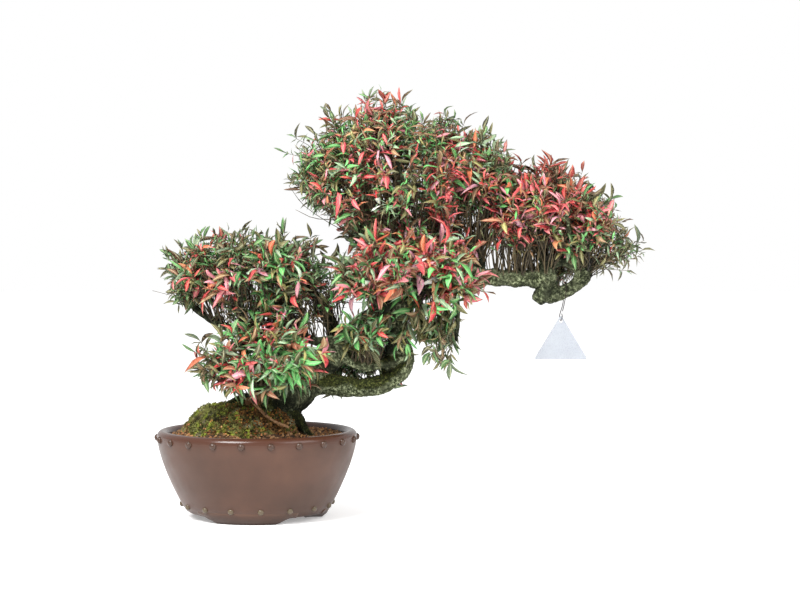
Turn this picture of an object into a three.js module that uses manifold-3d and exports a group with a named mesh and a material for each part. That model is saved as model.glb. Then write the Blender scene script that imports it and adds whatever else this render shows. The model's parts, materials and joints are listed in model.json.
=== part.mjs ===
// A small asiatic jasmine (star jasmine) bonsai in a round stoneware drum pot.
// Millimetres, +Z up. The tree is laid out from the pot's axis at table height, and the whole is
// moved at the end so that its origin is the middle of its box, on the table.
import * as THREE from 'three';
import { mergeVertices } from 'three/addons/utils/BufferGeometryUtils.js';
import Module from 'manifold-3d';

const wasm = await Module();
wasm.setup();

// Driving dimensions
const clearance = 0.3;
const shortestEdge = 0.05;
const pot = {
  rimRadius: 100.3,
  footRadius: 71.1,
  bellyPower: 1.5,
  rimHeight: 82,
  crestHeight: 87.8,
  lipRadius: 6,
  footHeight: 6,
  wall: 9,
  innerRadius: 87.3,
  floor: 9,
  drainRadius: 11,
  sides: 44,
};
const studRows = [
  { count: 22, height: 80, radius: 3.6, proud: 3, turn: -5.3 },
  { count: 16, height: 14, radius: 3.1, proud: 2.7, turn: 6 },
];
const feet = { count: 3, turn: -7, halfBottom: 28, halfTop: 44, innerRadius: 50, rise: 3 };
const soil = { level: 82, grain: 1.1, rings: 7, spokes: 30 };
const mound = { x: -15, y: -6, halfWidth: 63, halfDepth: 56, height: 30 };
const rootPlug = { x: 11, y: 0, radius: 23.6, bottom: 62, top: 109, sides: 16 };

const clay = { color: 0x6a4f46, roughness: 0.62, metalness: 0 };
const grit = { color: 0x8a5a3a, roughness: 1, metalness: 0 };
const bark = { color: 0x5b4a3c, roughness: 0.95, metalness: 0 };
const leafGreen = { color: 0x6f8a4f, roughness: 0.55, metalness: 0 };
const leafOlive = { color: 0x7d7f4e, roughness: 0.6, metalness: 0 };
const leafRed = { color: 0xa8504a, roughness: 0.6, metalness: 0 };
const tagPlastic = { color: 0xe8e8e4, roughness: 0.35, metalness: 0 };
const thread = { color: 0x3b3230, roughness: 0.9, metalness: 0 };

// Limbs of the tree: points in x, y, z from the pot's axis, each with the limb's radius there
const limbs = {
  trunk: [[12, 0, 101, 20], [16, -1, 112, 21], [34, -3, 124, 20], [60, -2, 148, 15.5],
    [89, 0, 173, 12.5], [112, 2, 196, 12.5], [143, 2, 217, 12], [173, 0, 233, 11.5],
    [200, 0, 247, 12.5], [226, 0, 259, 9]],
  lowArm: [[34, -6, 124, 14], [61, -8, 132, 10.5], [83, -8, 132, 9.6], [107, -8, 130, 9.6],
    [128, -8, 135, 9], [143, -6, 145, 8.5], [150, -4, 158, 7.6], [147, -2, 176, 6.5],
    [145, 0, 208, 6.5]],
  roughUpright: [[132, -3, 138, 7], [136, -4, 160, 7.5], [137, -2, 182, 6.5], [134, 0, 204, 6]],
  overArm: [[147, -6, 160, 5.2], [127, -11, 155, 5], [108, -14, 152, 5], [90, -15, 160, 5],
    [79, -15, 177, 5], [60, -13, 177, 4.5], [38, -10, 190, 4], [30, -8, 214, 3]],
  leftArm: [[62, 0, 150, 8], [36, 3, 170, 6], [4, 4, 182, 5], [-30, 2, 190, 4.2],
    [-58, 0, 206, 3.2], [-76, 0, 226, 2.2]],
  leftFront: [[-4, 4, 184, 4], [-12, -24, 200, 3], [-14, -40, 222, 2]],
  leftBack: [[-14, 4, 185, 4], [-18, 30, 204, 3], [-16, 46, 226, 2]],
  crotch: [[78, 4, 164, 9], [75, 6, 190, 7], [62, 4, 216, 5], [48, 0, 238, 3], [40, -2, 252, 2]],
  crotchBack: [[74, 6, 196, 5], [66, 30, 214, 3.5], [44, 44, 232, 2]],
  leader: [[143, 2, 217, 9], [140, 4, 246, 7.5], [129, 2, 276, 6], [134, 0, 308, 4.5],
    [130, -2, 345, 3], [131, 0, 382, 1.8]],
  topLeft: [[134, 3, 258, 6], [108, -2, 284, 4.5], [82, -6, 308, 3.2], [66, -6, 340, 2]],
  topRight: [[176, 0, 235, 7], [184, 4, 264, 5.5], [190, 2, 294, 4], [186, -2, 326, 3],
    [188, 0, 356, 1.8]],
  topFarRight: [[204, 0, 250, 6], [218, 2, 274, 4.5], [232, 0, 300, 3], [236, 0, 330, 1.8]],
  topFront: [[132, 1, 290, 5], [138, -28, 308, 3.5], [146, -46, 332, 2], [140, -50, 356, 1.6]],
  topBack: [[131, 2, 284, 5], [128, 32, 306, 3.5], [140, 50, 330, 2.2], [142, 52, 356, 1.6]],
  rightArm: [[208, 0, 249, 10], [222, -4, 241, 8.6], [243, -8, 240, 8], [266, -10, 240, 8],
    [290, -10, 239, 9]],
  knuckle: [[289, -10, 258, 6], [289, -10, 240, 10.5], [288, -11, 216, 6]],
  underRib: [[289, -10, 220, 6.5], [306, -11, 226, 7.6], [318, -11, 233, 6.2], [328, -10, 243, 7]],
  overRib: [[288, -10, 254, 6], [306, -10, 257.5, 6], [322, -10, 252, 7]],
  fanBase: [[324, -10, 238, 8], [326, -10, 252, 9], [321, -8, 270, 5]],
  fanLeft: [[318, -8, 262, 5], [302, -6, 286, 3.2], [290, -4, 320, 1.8]],
  fanRight: [[326, -8, 260, 5], [336, -4, 286, 3], [338, -2, 316, 1.8]],
  fanTip: [[328, -10, 250, 4.5], [346, -10, 258, 3], [374, -8, 274, 1.6]],
  fanFront: [[320, -12, 262, 4.5], [312, -36, 280, 3], [306, -50, 302, 1.8]],
  fanBack: [[322, -6, 262, 4.5], [318, 26, 280, 3], [312, 46, 302, 1.8]],
  knuckleShoot: [[288, -10, 256, 5], [276, -6, 282, 3.2], [262, -4, 312, 1.8]],
  frontArm: [[24, -14, 122, 7], [12, -38, 134, 5], [-12, -52, 138, 3.6], [-40, -56, 144, 2.2]],
  frontRight: [[30, -14, 126, 6], [38, -40, 146, 4], [52, -54, 164, 2.2]],
  midFront: [[128, -6, 206, 6.5], [122, -32, 220, 4], [112, -52, 234, 2.2]],
  midRight: [[156, -6, 224, 6.5], [170, -32, 232, 4], [176, -48, 244, 2.2]],
  midDroop: [[176, -6, 234, 6], [196, -34, 224, 3.6], [200, -44, 200, 2.4], [198, -46, 178, 1.6]],
  strayRoot: [[0, -18, 114, 3], [-3, -27, 119, 2], [4, -39, 112, 1.6], [18, -46, 101, 1.5],
    [35, -49, 94, 1.4]],
};

const leaflessLimbs = ['trunk', 'strayRoot', 'roughUpright'];

// Foliage pads: middle and half-sizes of each cloud of leaves, how low its sprays may sit as a
// share of its half-height, how many it has, how long their leaves are and how its shoots rise
const pads = [
  { name: 'top', at: [132, 0, 335], size: [112, 84, 97], low: -0.35, sprays: 14, leaf: 18, lift: 0.7 },
  { name: 'right', at: [286, -4, 288], size: [62, 68, 72], low: -0.3, sprays: 6, leaf: 20, lift: 0.7 },
  { name: 'tip', at: [345, -8, 262], size: [58, 58, 46], low: -0.2, sprays: 4, leaf: 20, lift: 0.7 },
  { name: 'left', at: [-5, 2, 236], size: [93, 70, 57], low: -0.4, sprays: 8, leaf: 20.5, lift: 0.7 },
  { name: 'front', at: [2, -60, 154], size: [72, 40, 42], low: -0.8, sprays: 4, leaf: 24, lift: 0.7 },
  { name: 'middle', at: [150, -44, 238], size: [74, 48, 42], low: -0.6, sprays: 5, leaf: 24, lift: 0.7 },
  { name: 'droop', at: [184, -48, 184], size: [44, 40, 48], low: -1, sprays: 3, leaf: 24, lift: -1.6 },
];
const redSprays = ['top_4', 'top_9', 'right_2', 'right_4', 'tip_2', 'left_3', 'left_7', 'front_2',
  'middle_3'];
const spray = {
  room: 13,
  inset: 21,
  twig: 1.3,
  twigSteps: 4,
  stalk: 0.62,
  stalkShare: 0.4,
  shoots: 3,
  leavesPerShoot: 2,
  tries: 18,
  margin: 0.3,
  thickestLimb: 6.6,
  nearestBuds: 6,
};
const blade = { halfWidthShare: 0.14, keel: 0.62, droop: 0.2 };

const tag = { x: 303.6, y: -11, top: 203.3, halfWidth: 26.8, height: 44.6, thick: 0.8, round: 3,
  hole: 1.9, holeDrop: 6.2 };
const cord = { diameter: 0.8, sides: 8, steps: 28 };

const vec = (x, y, z) => new THREE.Vector3(x, y, z);

// One seeded row of numbers from 0 to 1
function seededRow(seed) {
  let state = seed;
  return () => {
    state = (1664525 * state + 1013904223) % 4294967296;
    return state / 4294967296;
  };
}

// A closed three.js geometry as a solid that can be joined and cut
function toSolid(geometry) {
  geometry.deleteAttribute('normal');
  geometry.deleteAttribute('uv');
  const merged = mergeVertices(geometry, 1e-4);
  const corners = merged.index.array;
  const triVerts = [];
  for (let i = 0; i < corners.length; i += 3) {
    const [a, b, c] = corners.slice(i, i + 3);
    if (a !== b && b !== c && c !== a) triVerts.push(a, b, c);
  }
  return new wasm.Manifold(new wasm.Mesh({
    numProp: 3,
    vertProperties: new Float32Array(merged.getAttribute('position').array),
    triVerts: new Uint32Array(triVerts),
  }));
}

// Faces with every edge closed up that joins and cuts left too short for a sound solid, where
// that leaves the surface whole
function closeShortEdges({ vertProperties, triVerts }) {
  const spots = [];
  const triples = [];
  for (let i = 0; i < vertProperties.length; i += 3) {
    spots.push(vec(...vertProperties.subarray(i, i + 3)));
  }
  for (let i = 0; i < triVerts.length; i += 3) triples.push([...triVerts.subarray(i, i + 3)]);
  let faces = triples;
  const around = (a) => new Set(faces.filter((face) => face.includes(a)).flat());
  const closes = ([a, b]) => {
    if (spots[a].distanceTo(spots[b]) > shortestEdge) return false;
    const near = around(b);
    // The two ends and the two corners across the edge
    return [...around(a)].filter((c) => near.has(c)).length === 4;
  };
  for (;;) {
    const edge = faces.flatMap(([a, b, c]) => [[a, b], [b, c], [c, a]]).find(closes);
    if (!edge) return faces;
    faces = faces.map((face) => face.map((c) => (c === edge[1] ? edge[0] : c)))
      .filter(([a, b, c]) => a !== b && b !== c && c !== a);
  }
}

// The solid's largest single body, as a mesh of its own
function toMesh(solid, name, finish) {
  const whole = new wasm.Manifold(solid.simplify(0.01).getMesh());
  const bodies = whole.decompose().sort((a, b) => b.volume() - a.volume());
  const mesh = bodies[0].getMesh();
  const geometry = new THREE.BufferGeometry();
  geometry.setAttribute('position', new THREE.BufferAttribute(mesh.vertProperties, 3));
  geometry.setIndex(closeShortEdges(mesh).flat());
  geometry.computeVertexNormals();
  const piece = new THREE.Mesh(geometry, new THREE.MeshStandardMaterial(finish));
  piece.name = name;
  return piece;
}

const joined = (solids) => solids.reduce((whole, next) => whole.add(next));

// A closed bar along a curve, with its half width and half depth given for every share t of it
function sweep(curve, sides, steps, halfWidth, halfDepth, up) {
  const geometry = new THREE.CylinderGeometry(1, 1, 1, sides, steps);
  const spots = geometry.getAttribute('position');
  for (let i = 0; i < spots.count; i += 1) {
    const t = THREE.MathUtils.clamp(spots.getY(i) + 0.5, 0, 1);
    const along = curve.getTangent(t);
    const side = vec().crossVectors(along, up).normalize();
    const out = vec().crossVectors(side, along);
    const spot = curve.getPoint(t)
      .addScaledVector(side, spots.getX(i) * halfWidth(t))
      .addScaledVector(out, spots.getZ(i) * halfDepth(t));
    spots.setXYZ(i, spot.x, spot.y, spot.z);
  }
  return toSolid(geometry);
}

// Limbs as smooth curves with a radius along them
function limbCurve(rows) {
  const curve = new THREE.CatmullRomCurve3(
    rows.map(([x, y, z]) => vec(x, y, z)), false, 'catmullrom', 0.5,
  );
  const radius = (t) => {
    const place = Math.min(t, 0.9999) * (rows.length - 1);
    const k = Math.floor(place);
    return THREE.MathUtils.lerp(rows[k][3], rows[k + 1][3], place - k);
  };
  return { curve, radius };
}

function limbSolid(rows, extra) {
  const { curve, radius } = limbCurve(rows);
  const ending = curve.getTangent(1).multiplyScalar(extra);
  curve.points[rows.length - 1].add(ending);
  const sides = Math.min(9, Math.max(4, Math.round(rows[0][3] * 0.85)));
  const steps = Math.round((rows.length - 1) * (rows[0][3] > 7 ? 1.4 : 1));
  const gnarl = (t) => 1 + 0.08 * Math.sin(t * 31) * Math.min(1, radius(t) / 9);
  const girth = (t) => radius(t) * gnarl(t) + extra;
  const chord = curve.getPoint(1).sub(curve.getPoint(0)).normalize();
  const up = Math.abs(chord.y) > 0.6 ? vec(1, 0, 0) : vec(0, -1, 0);
  return sweep(curve, sides, steps, girth, girth, up);
}

// The root ball's straight neck, and the plain hole that it stands in
function neckSolid(radius, bottom, top) {
  const geometry = new THREE.CylinderGeometry(radius, radius, top - bottom, rootPlug.sides);
  geometry.rotateX(Math.PI / 2);
  geometry.translate(rootPlug.x, rootPlug.y, (top + bottom) / 2);
  return toSolid(geometry);
}

function treeSolid(extra) {
  const arms = Object.values(limbs).map((rows) => limbSolid(rows, extra));
  return joined([neckSolid(rootPlug.radius + extra, rootPlug.bottom, rootPlug.top), ...arms]);
}

// The drum pot: turned body, two rows of nail-head studs, three feet under it and a drain hole
function wallRadius(z) {
  const share = Math.max(0, pot.rimHeight - z) / (pot.rimHeight - pot.footHeight);
  return pot.rimRadius - (pot.rimRadius - pot.footRadius) * share ** pot.bellyPower;
}

const innerRadius = (z) => Math.min(pot.innerRadius, wallRadius(z) - pot.wall);

// A profile of [radius, height] points turned round the pot's axis
function lathe(profile, segments) {
  const geometry = new THREE.LatheGeometry(profile.map(([r, z]) => new THREE.Vector2(r, z)),
    segments);
  return geometry.rotateX(Math.PI / 2);
}

function potSolid() {
  const floorTop = pot.footHeight + pot.floor;
  const profile = [[pot.drainRadius, pot.footHeight], [pot.footRadius - 4, pot.footHeight],
    [pot.footRadius - 0.6, pot.footHeight + 2.6]];
  for (const z of [22, 40, 58, 73]) profile.push([wallRadius(z), z]);
  const lipMiddle = pot.rimRadius - pot.lipRadius;
  for (const turn of [30, 80, 130, 180]) {
    const a = THREE.MathUtils.degToRad(turn);
    profile.push([lipMiddle + pot.lipRadius * Math.cos(a),
      pot.crestHeight - pot.lipRadius + pot.lipRadius * Math.sin(a)]);
  }
  for (const z of [60, 34]) profile.push([innerRadius(z), z]);
  profile.push([innerRadius(floorTop) - 3, floorTop], [pot.drainRadius, floorTop]);
  profile.push([pot.drainRadius, pot.footHeight]);
  // Turned so that each stud of the upper row sits in the middle of a facet
  const bodyTurn = THREE.MathUtils.degToRad(studRows[0].turn + 180 / pot.sides);
  const parts = [toSolid(lathe(profile, pot.sides).rotateZ(bodyTurn))];
  for (const row of studRows) {
    for (let i = 0; i < row.count; i += 1) {
      const stud = new THREE.SphereGeometry(row.radius, 5, 3);
      stud.scale(1, row.proud / row.radius, 1);
      stud.rotateX(Math.PI);
      stud.translate(0, -wallRadius(row.height) + 0.2, row.height);
      stud.rotateZ(THREE.MathUtils.degToRad(row.turn + (i * 360) / row.count));
      parts.push(toSolid(stud));
    }
  }
  const footTop = pot.footHeight + feet.rise;
  const ring = toSolid(lathe([[feet.innerRadius, 0], [wallRadius(0) - 1, 0],
    [wallRadius(footTop), footTop], [feet.innerRadius, footTop], [feet.innerRadius, 0]],
  pot.sides));
  for (let i = 0; i < feet.count; i += 1) {
    const outline = new THREE.Shape();
    const { halfBottom, halfTop } = feet;
    const middle = (halfBottom + halfTop) / 2;
    outline.moveTo(-halfBottom, -1);
    outline.lineTo(halfBottom, -1);
    outline.lineTo(halfBottom, 0);
    outline.quadraticCurveTo(middle, 0, middle, pot.footHeight / 2);
    outline.quadraticCurveTo(middle, pot.footHeight, halfTop, pot.footHeight);
    outline.lineTo(halfTop, footTop + 1);
    outline.lineTo(-halfTop, footTop + 1);
    outline.lineTo(-halfTop, pot.footHeight);
    outline.quadraticCurveTo(-middle, pot.footHeight, -middle, pot.footHeight / 2);
    outline.quadraticCurveTo(-middle, 0, -halfBottom, 0);
    const block = new THREE.ExtrudeGeometry(outline,
      { depth: 60, bevelEnabled: false, curveSegments: 3 });
    block.rotateX(Math.PI / 2);
    block.translate(0, -30, 0);
    block.rotateZ(THREE.MathUtils.degToRad(feet.turn + (i * 360) / feet.count));
    parts.push(toSolid(block).intersect(ring));
  }
  return joined(parts);
}

// Height of the soil's surface, with the mound heaped round the roots and coarse grains on it
function soilHeight(x, y) {
  const away = ((x - mound.x) / mound.halfWidth) ** 2 + ((y - mound.y) / mound.halfDepth) ** 2;
  return soil.level + mound.height * (away < 1 ? 1 - away * away : 0);
}

function soilSolid() {
  const floorTop = pot.footHeight + pot.floor + clearance;
  const profile = [[0, floorTop], [innerRadius(floorTop) - 3.5, floorTop]];
  for (const z of [34, 60]) profile.push([innerRadius(z) - clearance - 0.2, z]);
  const edge = innerRadius(76) - clearance - 0.3;
  for (let i = 0; i <= soil.rings; i += 1) profile.push([edge * (1 - i / soil.rings), soil.level]);
  const geometry = lathe(profile, soil.spokes);
  const spots = geometry.getAttribute('position');
  for (let i = 0; i < spots.count; i += 1) {
    const x = spots.getX(i);
    const y = spots.getY(i);
    const grain = soil.grain * Math.sin(x * 0.9) * Math.cos(y * 0.8 + x * 0.3);
    if (spots.getZ(i) > soil.level - 1) spots.setZ(i, soilHeight(x, y) + grain);
  }
  const above = rootPlug.top + mound.height;
  const hole = neckSolid(rootPlug.radius + clearance, rootPlug.bottom - clearance, above);
  return toSolid(geometry).subtract(hole);
}

// Spheres that stand for what fills the space already, so that twigs and leaves are bent clear
const filled = [];

function fill(spots, reach, owner) {
  spots.forEach((at) => filled.push({ at, reach, owner }));
}

// Smallest gap between the given spots and everything that another owner has filled
function gapAround(spots, reach, ...owners) {
  let gap = Infinity;
  for (const other of filled) {
    if (owners.includes(other.owner)) continue;
    for (const spot of spots) {
      gap = Math.min(gap, spot.distanceTo(other.at) - reach - other.reach);
    }
  }
  return gap;
}

// Draws a curve again and again until one is clear, or gives the clearest
function clearest(draw, from, reach, ...owners) {
  let best = null;
  for (let i = 0; i < spray.tries; i += 1) {
    const curve = draw();
    const spots = [];
    for (let t = from; t < 1.01; t += 0.13) spots.push(curve.getPoint(Math.min(t, 1)));
    const gap = gapAround(spots, reach, ...owners);
    if (best === null || gap > best.gap) best = { curve, spots, gap };
    if (gap > 0) break;
  }
  return best;
}

function fillLimbs() {
  for (const [name, rows] of Object.entries(limbs)) {
    const { curve, radius } = limbCurve(rows);
    for (let i = 0; i <= 20; i += 1) fill([curve.getPoint(i / 20)], radius(i / 20) + 0.6, name);
  }
}

function fillTag() {
  for (let row = 0; row < 4; row += 1) {
    for (let i = 0; i <= row; i += 1) {
      fill([vec(tag.x + (i - row / 2) * 15, tag.y, tag.top - 6 - row * 12)], 8, 'tag');
    }
  }
}

// Places along the limbs where a spray may spring
function buds() {
  const spots = [];
  for (const [name, rows] of Object.entries(limbs)) {
    if (leaflessLimbs.includes(name)) continue;
    const { curve, radius } = limbCurve(rows);
    for (let i = 4; i <= 12; i += 1) {
      if (radius(i / 12) < spray.thickestLimb) spots.push({ at: curve.getPoint(i / 12), limb: name });
    }
  }
  return spots;
}

// Crowns of the sprays, spread evenly through each pad and clear of the limbs
function placeCrowns() {
  const sprays = [];
  pads.forEach((pad, padIndex) => {
    const random = seededRow(41 + 17 * padIndex);
    const middle = vec(...pad.at);
    const reach = vec(...pad.size).subScalar(spray.inset);
    for (let k = 1; k <= pad.sprays; k += 1) {
      let best = { gap: -Infinity };
      for (let i = 0; i < spray.tries; i += 1) {
        const turn = random() * 2 * Math.PI;
        const rise = k === 1 ? 0.97 : pad.low + (1 - pad.low) * random();
        const flat = Math.sqrt(1 - rise * rise);
        const share = 0.7 + 0.3 * random();
        const crown = vec(Math.cos(turn) * flat, Math.sin(turn) * flat, rise)
          .multiply(reach).multiplyScalar(share).add(middle);
        const gap = gapAround([crown], spray.room);
        if (gap > best.gap) best = { crown, gap };
      }
      const name = `${pad.name}_${k}`;
      fill([best.crown], spray.room, `${name}_room`);
      sprays.push({ name, pad, middle, crown: best.crown, seed: 977 * padIndex + 131 * k });
    }
  });
  for (let i = filled.length - 1; i >= 0; i -= 1) {
    if (filled[i].owner.endsWith('_room')) filled.splice(i, 1);
  }
  return sprays;
}

// A spray's twig, from a free bud nearby into its crown
function growTwigs(sprays) {
  const free = buds();
  for (const item of sprays) {
    const { crown, name } = item;
    const random = seededRow(item.seed);
    free.sort((a, b) => a.at.distanceTo(crown) - b.at.distanceTo(crown));
    let best = null;
    for (const root of free.slice(0, spray.nearestBuds)) {
      const draw = () => {
        const sway = vec(random() - 0.5, random() - 0.5, random() - 0.7).multiplyScalar(22);
        const bend = root.at.clone().lerp(crown, 0.5).add(sway);
        return new THREE.QuadraticBezierCurve3(root.at, bend, crown);
      };
      const twig = clearest(draw, 0.3, spray.twig + spray.margin, root.limb, name);
      if (best === null || twig.gap > best.twig.gap) best = { root, twig };
      if (twig.gap > 0) break;
    }
    free.splice(free.indexOf(best.root), 1);
    fill(best.twig.spots, spray.twig + spray.margin, name);
    item.twig = best.twig.curve;
  }
}

// Shoots that fan out of the crown, each a thin stalk that ends in a leaf
function growShoots(item) {
  const { crown, middle, name, pad, twig } = item;
  const random = seededRow(item.seed + 7);
  const outward = crown.clone().sub(middle).normalize();
  item.shoots = [];
  for (let j = 0; j < spray.shoots; j += 1) {
    const fork = twig.getPoint(1 - j / spray.twigSteps);
    const length = (pad.leaf * (0.9 + 0.25 * random())) / (1 - spray.stalkShare);
    const halfWidth = blade.halfWidthShare * pad.leaf;
    const draw = () => {
      const turn = (j + random()) * ((2 * Math.PI) / spray.shoots);
      const fan = vec(Math.cos(turn), Math.sin(turn), pad.lift * random());
      const toward = outward.clone().multiplyScalar(0.7).add(fan).normalize();
      const tip = fork.clone().addScaledVector(toward, length);
      const bend = fork.clone().lerp(tip, 0.55);
      bend.z += blade.droop * length * 0.5;
      const curve = new THREE.QuadraticBezierCurve3(fork, bend, tip);
      curve.face = vec(Math.cos(turn + 1.5), Math.sin(turn + 1.5), 1.2).normalize();
      return curve;
    };
    const shoot = clearest(draw, 0.22, halfWidth + spray.margin, name);
    if (shoot.gap > 0) {
      fill(shoot.spots.slice(3), halfWidth, `${name}_leaves`);
      fill(shoot.spots.slice(0, 3), halfWidth, name);
      item.shoots.push(shoot.curve);
    }
  }
}

// Lance-shaped leaves on both sides of a shoot's stalk
function growLeaves(item) {
  const { name, pad, shoots } = item;
  const random = seededRow(item.seed + 19);
  item.leaves = [];
  for (const shoot of shoots) {
    for (let i = 0; i < spray.leavesPerShoot; i += 1) {
      const t = spray.stalkShare * (1 - 0.5 * i);
      const base = shoot.getPoint(t);
      const along = shoot.getTangent(t);
      const across = vec().crossVectors(along, shoot.face).normalize();
      const length = pad.leaf * (0.85 + 0.3 * random());
      const halfWidth = blade.halfWidthShare * length;
      const draw = () => {
        const side = i % 2 === 0 ? 1 : -1;
        const stray = vec(random() - 0.5, random() - 0.5, random() - 0.5);
        const toward = along.clone().multiplyScalar(0.6 * random())
          .addScaledVector(across, side).addScaledVector(stray, 1.1).normalize();
        const tip = base.clone().addScaledVector(toward, length);
        const bend = base.clone().lerp(tip, 0.5);
        bend.z += blade.droop * length * 0.5;
        tip.z -= blade.droop * length * 0.5;
        const curve = new THREE.QuadraticBezierCurve3(base, bend, tip);
        curve.face = shoot.face.clone().addScaledVector(stray, 0.8).normalize();
        return curve;
      };
      const leaf = clearest(draw, 0.22, halfWidth + spray.margin, name);
      if (leaf.gap > 0) {
        fill(leaf.spots.slice(2), halfWidth, `${name}_leaves`);
        fill(leaf.spots.slice(0, 2), halfWidth, name);
        item.leaves.push({ curve: leaf.curve, length });
      }
    }
  }
}

// Outline of a leaf: pointed at both ends and widest before the middle
const lance = (t) => Math.sin(Math.PI * Math.max(0, t) ** 0.85);

function spraySolid(item) {
  const up = vec(0.31, -0.82, 0.2).normalize();
  const thick = (t) => THREE.MathUtils.lerp(spray.twig + 0.3, spray.twig, t);
  const solids = [sweep(item.twig, 3, spray.twigSteps, thick, thick, up)];
  // A stalk starts as a point in the wood, and passes into the leaf at its end
  const profile = (stalkShare, half) => (t) => {
    if (t === 0) return 0;
    return t <= stalkShare ? spray.stalk : half * lance((t - stalkShare) / (1 - stalkShare));
  };
  const stretch = 1 / Math.cos(Math.PI / 6);
  for (const shoot of item.shoots) {
    const halfWidth = blade.halfWidthShare * item.pad.leaf * stretch;
    const share = spray.stalkShare + 0.01;
    solids.push(sweep(shoot, 3, 5, profile(share, halfWidth), profile(share, blade.keel), shoot.face));
  }
  for (const { curve, length } of item.leaves) {
    const halfWidth = blade.halfWidthShare * length * stretch;
    solids.push(sweep(curve, 3, 3, profile(0, halfWidth), profile(0, blade.keel), curve.face));
  }
  return joined(solids);
}

// Swing tag: a bare rounded triangle that hangs by a doubled thread from a low rib
function tagGeometry() {
  const corners = [[0, 0], [-tag.halfWidth, -tag.height], [tag.halfWidth, -tag.height]]
    .map(([x, y]) => new THREE.Vector2(x, y));
  const outline = new THREE.Shape();
  corners.forEach((corner, i) => {
    const before = corners[(i + 2) % 3].clone().sub(corner).normalize();
    const after = corners[(i + 1) % 3].clone().sub(corner).normalize();
    const start = corner.clone().addScaledVector(before, tag.round);
    const end = corner.clone().addScaledVector(after, tag.round);
    if (i === 0) outline.moveTo(start.x, start.y);
    else outline.lineTo(start.x, start.y);
    outline.quadraticCurveTo(corner.x, corner.y, end.x, end.y);
  });
  const eye = new THREE.Path().absarc(0, -tag.holeDrop, tag.hole, 0, 2 * Math.PI, true);
  outline.holes.push(eye);
  const geometry = new THREE.ExtrudeGeometry(outline,
    { depth: tag.thick, bevelEnabled: false, curveSegments: 4 });
  geometry.rotateX(Math.PI / 2);
  geometry.translate(tag.x, tag.y + tag.thick / 2, tag.top);
  return geometry;
}

const threadRoute = [
  [305.2, -12.0, 206.8], [306.2, -15, 212], [307.2, -18.4, 218.5], [307.9, -20, 225],
  [308.2, -18.6, 231.5], [308.4, -15, 235.2], [308.4, -11, 236.2], [308.3, -7, 235.2],
  [308.1, -3.4, 231.5], [307.7, -2, 225], [306.8, -3.6, 218.5], [305.4, -7, 212],
  [303.6, -8.9, 206.5], [302.5, -8.8, 202], [302.8, -8.9, 199.4], [303.4, -10.2, 197.6],
  [304, -12, 197.8], [304.6, -13.2, 199.6], [304.8, -13.4, 202], [304.4, -13.2, 204.6],
];

function threadSolid() {
  const route = new THREE.CatmullRomCurve3(threadRoute.map((p) => vec(...p)));
  const section = new THREE.Shape();
  section.absarc(0, 0, cord.diameter / 2, 0, 2 * Math.PI);
  return toSolid(new THREE.ExtrudeGeometry(section,
    { steps: cord.steps, extrudePath: route, curveSegments: cord.sides / 2 }));
}

const bonsai = new THREE.Group();
bonsai.add(toMesh(potSolid(), 'pot', clay));
bonsai.add(toMesh(soilSolid(), 'soil', grit));
bonsai.add(toMesh(treeSolid(0), 'trunk', bark));

fillLimbs();
fillTag();
const treeSpace = treeSolid(clearance);
const sprays = placeCrowns();
growTwigs(sprays);
sprays.forEach(growShoots);
sprays.forEach(growLeaves);
for (const item of sprays) {
  let finish = item.pad.name === 'top' ? leafOlive : leafGreen;
  if (redSprays.includes(item.name)) finish = leafRed;
  bonsai.add(toMesh(spraySolid(item).subtract(treeSpace), `spray_${item.name}`, finish));
}
bonsai.add(toMesh(toSolid(tagGeometry()), 'tag', tagPlastic));
bonsai.add(toMesh(threadSolid(), 'tag_thread', thread));

const extent = new THREE.Box3().setFromObject(bonsai);
bonsai.position.set(
  -(extent.min.x + extent.max.x) / 2,
  -(extent.min.y + extent.max.y) / 2,
  -extent.min.z,
);

export default bonsai;
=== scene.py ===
import json
import math
import random
from functools import partial

import bmesh
import bpy
from mathutils import Matrix, Vector, noise
from mathutils.bvhtree import BVHTree
from mathutils.kdtree import KDTree


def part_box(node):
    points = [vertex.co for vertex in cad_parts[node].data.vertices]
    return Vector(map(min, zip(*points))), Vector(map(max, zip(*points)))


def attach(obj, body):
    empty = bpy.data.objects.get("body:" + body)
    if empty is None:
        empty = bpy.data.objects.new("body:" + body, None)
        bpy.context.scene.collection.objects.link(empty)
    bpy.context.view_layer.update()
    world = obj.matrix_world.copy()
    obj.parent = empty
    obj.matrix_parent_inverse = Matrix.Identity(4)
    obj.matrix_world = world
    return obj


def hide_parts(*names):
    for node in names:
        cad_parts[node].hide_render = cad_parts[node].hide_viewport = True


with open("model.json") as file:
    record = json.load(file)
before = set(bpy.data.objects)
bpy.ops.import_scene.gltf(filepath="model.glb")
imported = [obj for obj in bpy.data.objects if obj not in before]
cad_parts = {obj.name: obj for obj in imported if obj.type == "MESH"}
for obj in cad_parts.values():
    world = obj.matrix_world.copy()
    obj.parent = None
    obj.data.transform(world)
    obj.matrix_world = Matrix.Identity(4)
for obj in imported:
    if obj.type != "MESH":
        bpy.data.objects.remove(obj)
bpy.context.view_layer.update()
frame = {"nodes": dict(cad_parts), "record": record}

nodes = frame["nodes"]
slots = {part["node"]: part["material_slot"] for part in frame["record"]["subparts"]}
scene = bpy.context.scene
mm = 0.001
up, down = Vector((0, 0, 1)), Vector((0, 0, -1))

# Lengths below are in millimetres from the pot's axis at the table, as in the CAD source
tagX = 303.6
tagLow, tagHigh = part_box("tag")
potX = (tagLow.x + tagHigh.x) / 2 - tagX * mm


def spot(x, y, z):
    return Vector((potX + x * mm, y * mm, z * mm))


def unspot(point):
    return (point.x - potX) / mm, point.y / mm, point.z / mm


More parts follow.
